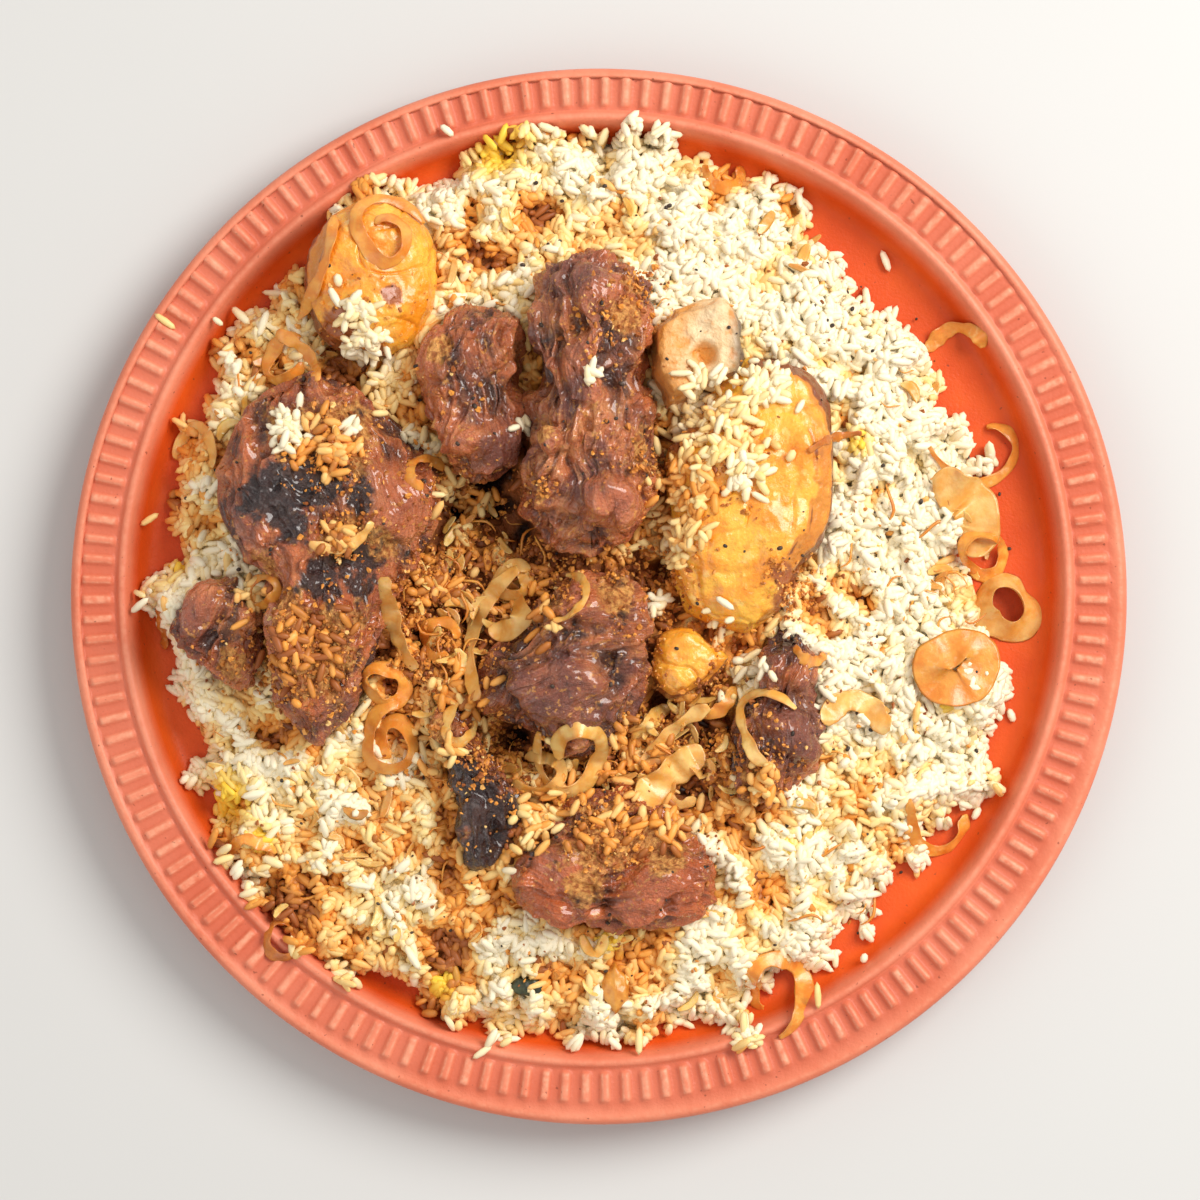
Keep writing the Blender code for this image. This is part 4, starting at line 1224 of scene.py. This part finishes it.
# Middle x and y, first and last radius, first angle, turn, width (mm and degrees), stand (how far
# the ribbon's width is tipped up from lying flat, in degrees) and kind
CURLS = {
    "onion_edge_arc": (100.5, 66.5, 9.5, 9.5, 150, -125, 3.8, 25, "amber"),
    "onion_hook": (109.5, 45, 17, 4.5, 190, 240, 2.8, 40, "amber"),
    "onion_slab": (96, 22, 10, 10, 100, -150, 11.0, 12, "pale"),
    "onion_loop": (109.5, 12, 5.8, 5.8, 0, 360, 3.4, 45, "amber"),
    "onion_boat": (116.5, -3, 6.8, 6.8, 0, 360, 7.4, 52, "pale"),
    "onion_round": (101, -20, 6.4, 6.4, 0, 360, 9.0, 10, "amber"),
    "onion_tail": (99, -61.5, 14, 6, 160, 190, 3.2, 30, "amber"),
    "onion_foot": (49, -112, 12, 5, 280, 330, 4.4, 35, "amber"),
    "onion_rim_ring": (-90, -97.5, 4.5, 4.5, 0, 360, 2.6, 45, "brown"),
    "onion_small_ring": (-60, -25, 5, 5, 0, 360, 4.2, 45, "amber"),
    "onion_nest": (-58, -41, 9, 3, 80, 540, 4.4, 42, "amber"),
    "onion_centre_curl": (-27, -4, 6.5, 5, 120, -250, 6.0, 40, "pale"),
    "onion_thin_curl": (-11.5, 0, 7, 7, 70, -170, 2.4, 45, "pale"),
    "onion_fan": (-7, -43.5, 12, 4, 150, 420, 4.4, 40, "pale"),
    "onion_right_curl": (48, -37, 9.5, 8.5, 40, 230, 3.0, 40, "pale"),
    "onion_left_ring": (-94, 1.5, 4, 4, 0, 360, 2.4, 45, "amber"),
    "onion_swirl": (-59, 101, 11, 3.5, 20, 480, 3.4, 35, "amber"),
    "onion_top_curl": (35.5, 122, 6, 5, 170, 200, 3.4, 35, "amber"),
    "onion_left_curl": (-114.5, 40.5, 7, 6, 190, -230, 3.4, 30, "pale"),
    "onion_wide_arc": (73, -41.5, 10.5, 10.5, 150, -130, 5.5, 10, "pale"),
}
# x and y of both ends, bow to the left, width, stand and kind
STRIPS = {
    "onion_twist": (-59.5, 5.5, -51.5, -20.5, -2, 4.6, 35, "pale"),
    "onion_long": (-22.5, 8, -34, -29, -7, 4.4, 38, "pale"),
    "onion_strip_upper": (9.5, -41, 20, -31, 1, 3.6, 30, "pale"),
    "onion_strip_lower": (12, -48, 31, -31, 2, 3.8, 30, "pale"),
    "onion_broad": (11.5, -58, 29.5, -43.5, 1, 7.5, 12, "pale"),
    "onion_thin_left": (-80, 14.5, -62.5, 20.5, -4, 2.8, 20, "pale"),
    "onion_drape": (-74, 106.5, -85, 78, 3, 3.2, 30, "amber"),
    "onion_low_drape": (-91, 74, -78.5, 60, 3, 3.4, 25, "amber"),
    "onion_fine_right": (58, 40, 74, 46, 1.5, 2.2, 40, "brown"),
    "onion_rim_left": (-126, -3, -124.5, -15, 1, 2.6, 30, "brown"),
}
# More curls, laid the same way after the others
LOOSE_CURLS = {
    "onion_petal": (-17, -49, 7, 4, 200, 300, 3.8, 42, "pale"),
    "onion_crumple": (-24, 4, 5, 3, 40, 400, 4.6, 45, "pale"),
    "onion_middle_loop": (-45, -12, 5, 4, 0, 300, 3.2, 40, "amber"),
    "onion_under_potato": (30, -20, 12, 10, 250, 75, 3.4, 30, "amber"),
    "onion_low_loop": (24, -54, 6, 4, 30, 290, 3.4, 40, "pale"),
    "onion_back_loop": (-88, 66, 7, 4, 60, 300, 3.6, 40, "amber"),
    "onion_inner_hook": (-38, -36, 6, 3, 100, 280, 3.0, 45, "pale"),
    "onion_by_flank": (-48, 34, 5, 4, 20, 240, 3.2, 40, "amber"),
    "onion_side_scrap": (60, -12, 7, 5, 200, 110, 3.0, 30, "amber"),
    "onion_left_scrap": (-98, -74, 6, 5, 10, 190, 3.0, 30, "amber"),
}
# Light and dark tone of each kind
ONION_KINDS = {
    "amber": ((0.90, 0.42, 0.075), (0.78, 0.25, 0.028)),
    "pale": ((0.95, 0.64, 0.220), (0.86, 0.42, 0.075)),
    "brown": ((0.62, 0.21, 0.03), (0.40, 0.10, 0.012)),
}
ONION_SIDES = 12
ONION_THICK = 0.6 * MM
# Stations along a ribbon for each mm of its length, and at least
STATIONS_PER_MM = 2.2
STATIONS_LEAST = 12


def curl_path(spec, count):
    """A spiral: the radius goes evenly from first to last while the angle turns, and two slow
    waves unsettle it. It gives the points and whether they close."""
    x, y, first, last, start, turn = spec[:6]
    closed = turn == 360 and first == last
    share = np.arange(count) / (count if closed else count - 1)
    angle = np.radians(start + turn * share)
    radius = first + (last - first) * share
    radius = radius * (1 + 0.13 * np.sin(2 * angle + x) + 0.06 * np.sin(3 * angle + y))
    return np.stack((x + radius * np.cos(angle), y + radius * np.sin(angle)), -1) * MM, closed


def strip_path(spec, count):
    """A straight run with a parabola's bow, as points, and that they don't close."""
    x0, y0, x1, y1, bow = spec[:5]
    share = np.linspace(0, 1, count)
    off = bow * 4 * share * (1 - share) / math.hypot(x1 - x0, y1 - y0)
    return np.stack((x0 + (x1 - x0) * share - (y1 - y0) * off,
                     y0 + (y1 - y0) * share + (x1 - x0) * off), -1) * MM, False


def soften(values, closed, times):
    """Evens a row of numbers out by repeated means with its neighbours."""
    for _ in range(times):
        if closed:
            values = (np.roll(values, 1) + 2 * values + np.roll(values, -1)) / 4
        else:
            padded = np.concatenate((values[:1], values, values[-1:]))
            values = (padded[:-2] + 2 * padded[1:-1] + padded[2:]) / 4
    return values


def make_onion(name, path, closed, width, stand, seed, material, relief, nodes):
    """A strip carried along its path. Its section is a thin cupped lens; the strip is tipped up
    by its stand, wavers in width and tilt, and rests on a softened line over whatever is highest
    below it."""
    count = len(path)
    if closed:
        along = np.roll(path, -1, 0) - np.roll(path, 1, 0)
    else:
        along = np.gradient(path, axis=0)
    along = along / np.linalg.norm(along, axis=1)[:, None]
    left = np.stack((-along[:, 1], along[:, 0]), -1)
    share = np.arange(count) / (count if closed else count - 1)
    turn = 2 * math.pi * share
    rng = np.random.default_rng(seed)
    phase = rng.uniform(0, 2 * math.pi, 4)
    waver = np.sin(turn * 2 + phase[0]) + 0.6 * np.sin(turn * 5 + phase[1])
    wide = width * MM / 2 * (1.2 + min(0.22, 0.6 / width) * waver)
    if not closed:
        wide = wide * (1 - 0.6 * np.abs(2 * share - 1) ** 8)
    tip = np.radians(stand + 16 * np.sin(turn + phase[2]) + 8 * np.sin(turn * 3 + phase[3]))
    ground = relief.at(path[:, 0], path[:, 1])
    for side in (-1, 1):
        edge = path + side * (0.6 * wide * np.cos(tip))[:, None] * left
        ground = np.maximum(ground, relief.at(edge[:, 0], edge[:, 1]) - 0.3 * MM)
    level = ground
    for _ in range(3):
        level = np.maximum(soften(level, closed, 8), ground - 0.8 * MM)
    level = soften(level, closed, int(6 + 2 * width)) + 0.35 * MM + wide * np.sin(np.abs(tip)) * 0.85
    section = np.arange(ONION_SIDES) * 2 * math.pi / ONION_SIDES
    u = np.cos(section)
    v = np.sin(section)
    thick = ONION_THICK * (1 + 0.2 * np.sin(turn * 4 + phase[1]))
    across = wide[:, None] * u
    rise = thick[:, None] * v * (1 - 0.35 * u ** 2) + 0.22 * wide[:, None] * (u ** 2 - 0.5)
    flat_part = across * np.cos(tip)[:, None] - rise * np.sin(tip)[:, None]
    up_part = across * np.sin(tip)[:, None] + rise * np.cos(tip)[:, None]
    x = path[:, :1] + left[:, :1] * flat_part
    y = path[:, 1:] + left[:, 1:] * flat_part
    z = level[:, None] + up_part
    grid = np.stack((x, y, z), -1)
    grid = grid + 0.25 * MM * noise_vector(grid, 2.5 * MM, range(seed + 1, seed + 4))
    fibres = 0.5 + 0.5 * np.sin(12 * u + phase[0]) * np.ones((count, 1))
    streak = smooth(0.75, 1.0, np.abs(u))[None, :] * 0.6 + 0.35 * fibres
    streak = streak + 0.4 * smooth(0.2, 0.8, noise(grid, (2.2 * MM, 2.2 * MM, 9 * MM), seed + 7))
    if closed:
        index = np.arange(count * ONION_SIDES).reshape(count, ONION_SIDES)
        after = np.roll(index, -1, 0)
        quads = np.stack((index, np.roll(index, -1, 1), np.roll(after, -1, 1), after), -1)
        quads = quads.reshape(-1, 4)
        caps = np.empty((0, 3), int)
        points = grid.reshape(-1, 3)
        streak = streak.ravel()
    else:
        quads, caps = skin_faces(count, ONION_SIDES)
        points = np.vstack((grid.reshape(-1, 3), grid[0].mean(0), grid[-1].mean(0)))
        streak = with_poles(streak)
    finish_piece(name + "_fried", points, quads, caps, material, nodes,
                 {"streak": np.clip(streak, 0, 1)})
    relief.cover(grid)


def make_onions(relief, materials):
    """Lays every ribbon in turn, curls first; each rests on the food and on those before it."""
    for order, (name, spec) in enumerate({**CURLS, **LOOSE_CURLS, **STRIPS}.items()):
        if name in STRIPS:
            length = math.hypot(spec[2] - spec[0], spec[3] - spec[1])
            lay_path = strip_path
        else:
            length = math.radians(abs(spec[5])) * (spec[2] + spec[3]) / 2
            lay_path = curl_path
        path, closed = lay_path(spec, int(length * STATIONS_PER_MM) + STATIONS_LEAST)
        width, stand, kind = spec[-3:]
        nodes = () if name in LOOSE_CURLS else (name,)
        make_onion(name, path, closed, width, stand, 500 + 10 * order, materials[kind], relief, nodes)


# ---------------------------------------------------------------------------------------
# Studio
# ---------------------------------------------------------------------------------------


CAMERA_HEIGHT = 1.15
RIM_LEVEL = 17 * MM
# Width of the view over the width of the plate
VIEW_SHARE = 1200 / 1056
FLOOR_HALF = 4.0


def aim(obj, place, target):
    """Stands an object at a place, turned to look at a target."""
    obj.location = place
    obj.rotation_euler = (Vector(target) - Vector(place)).to_track_quat("-Z", "Y").to_euler()


def make_light(name, place, size, watts, tint):
    """A round soft lamp that shines at the food."""
    data = bpy.data.lights.new(name, "AREA")
    data.shape = "DISK"
    data.size = size
    data.energy = watts
    data.color = tint
    lamp = bpy.data.objects.new(name, data)
    bpy.context.collection.objects.link(lamp)
    aim(lamp, place, (0, 0, 0.02))


def make_studio():
    """A camera straight above the plate, a pale floor, a soft key from the right and a fill."""
    camera = bpy.data.objects.new("camera", bpy.data.cameras.new("camera"))
    bpy.context.collection.objects.link(camera)
    camera.data.sensor_width = 36
    camera.data.lens = 36 * (CAMERA_HEIGHT - RIM_LEVEL) / (PLATE_RADIUS * 2 * VIEW_SHARE)
    camera.location = (0.0003, -0.001, CAMERA_HEIGHT)
    bpy.context.scene.camera = camera
    floor = bpy.data.meshes.new("floor")
    corners = [(x * FLOOR_HALF, y * FLOOR_HALF, 0) for x, y in ((-1, -1), (1, -1), (1, 1), (-1, 1))]
    floor.from_pydata(corners, [], [(0, 1, 2, 3)])
    r = Recipe("floor_pale")
    pale = r.mix(r.grain(0.3), (0.62, 0.62, 0.61), (0.65, 0.65, 0.64))
    floor.materials.append(r.set(Base_Color=pale, Roughness=0.8))
    ground = bpy.data.objects.new("floor", floor)
    bpy.context.collection.objects.link(ground)
    make_light("key", (0.80, 0.50, 0.95), 0.8, 18.5, (1.0, 0.97, 0.93))
    make_light("fill", (-0.8, -0.4, 0.9), 0.9, 2.5, (1.0, 0.96, 0.92))
    world = bpy.data.worlds.new("studio")
    world.use_nodes = True
    sky = world.node_tree.nodes["Background"].inputs
    sky["Color"].default_value = (1.0, 0.98, 0.95, 1.0)
    sky["Strength"].default_value = 0.57
    bpy.context.scene.world = world
    bpy.context.scene.view_settings.view_transform = "Standard"


def main():
    """The studio and the plate, the cooked pieces, the rice round them, then what is strewn and
    laid on top. Heights are gathered on the way: plate, pieces, bits (pieces and small items) and
    food (all of it), so that each thing rests on those before it."""
    make_studio()
    plate_grid = make_plate(clay_material())
    plate = Relief()
    plate.cover(refine(plate_grid[:, ::3], 400, 0, False))
    pieces = Relief()
    meat = meat_material()
    for order, (name, spec) in enumerate(MEAT.items()):
        make_meat(name, spec, 100 + 40 * order, meat, pieces)
    potato = potato_material()
    for name, spec in POTATOES.items():
        make_potato(name, *spec, potato, pieces)
    make_bone(bone_material(), pieces)
    bits = pieces.copy()
    for name, (slot, *look, wrinkle) in BITS.items():
        make_bit(name, plain_food(slot, *look), bits, wrinkle)
    heap = Heap(pieces)
    make_core(heap, plate, core_material())
    rice = rice_material()
    make_rice(heap, bits, plate, rice)
    food = bits.copy()
    food.height = np.maximum(food.height, plate.height)
    surface = np.maximum(food.height, heap.top(food.x, food.y) + 1.6 * MM)
    food.height = np.where(heap.share(food.x, food.y) < 1, surface, food.height)
    make_sprinkles(food, rice)
    speck = plain_food("speck", (0.06, 0.03, 0.015), (0.015, 0.010, 0.008), 0.002, 0.6, 0.0003)
    make_specks(food, heap, speck)
    make_shreds(food, bits, onion_material("onion_thread", *ONION_KINDS["amber"]))
    onions = {name: onion_material("onion_" + name, *tones) for name, tones in ONION_KINDS.items()}
    make_flakes(food, bits, onions["pale"])
    make_onions(food, onions)


main()
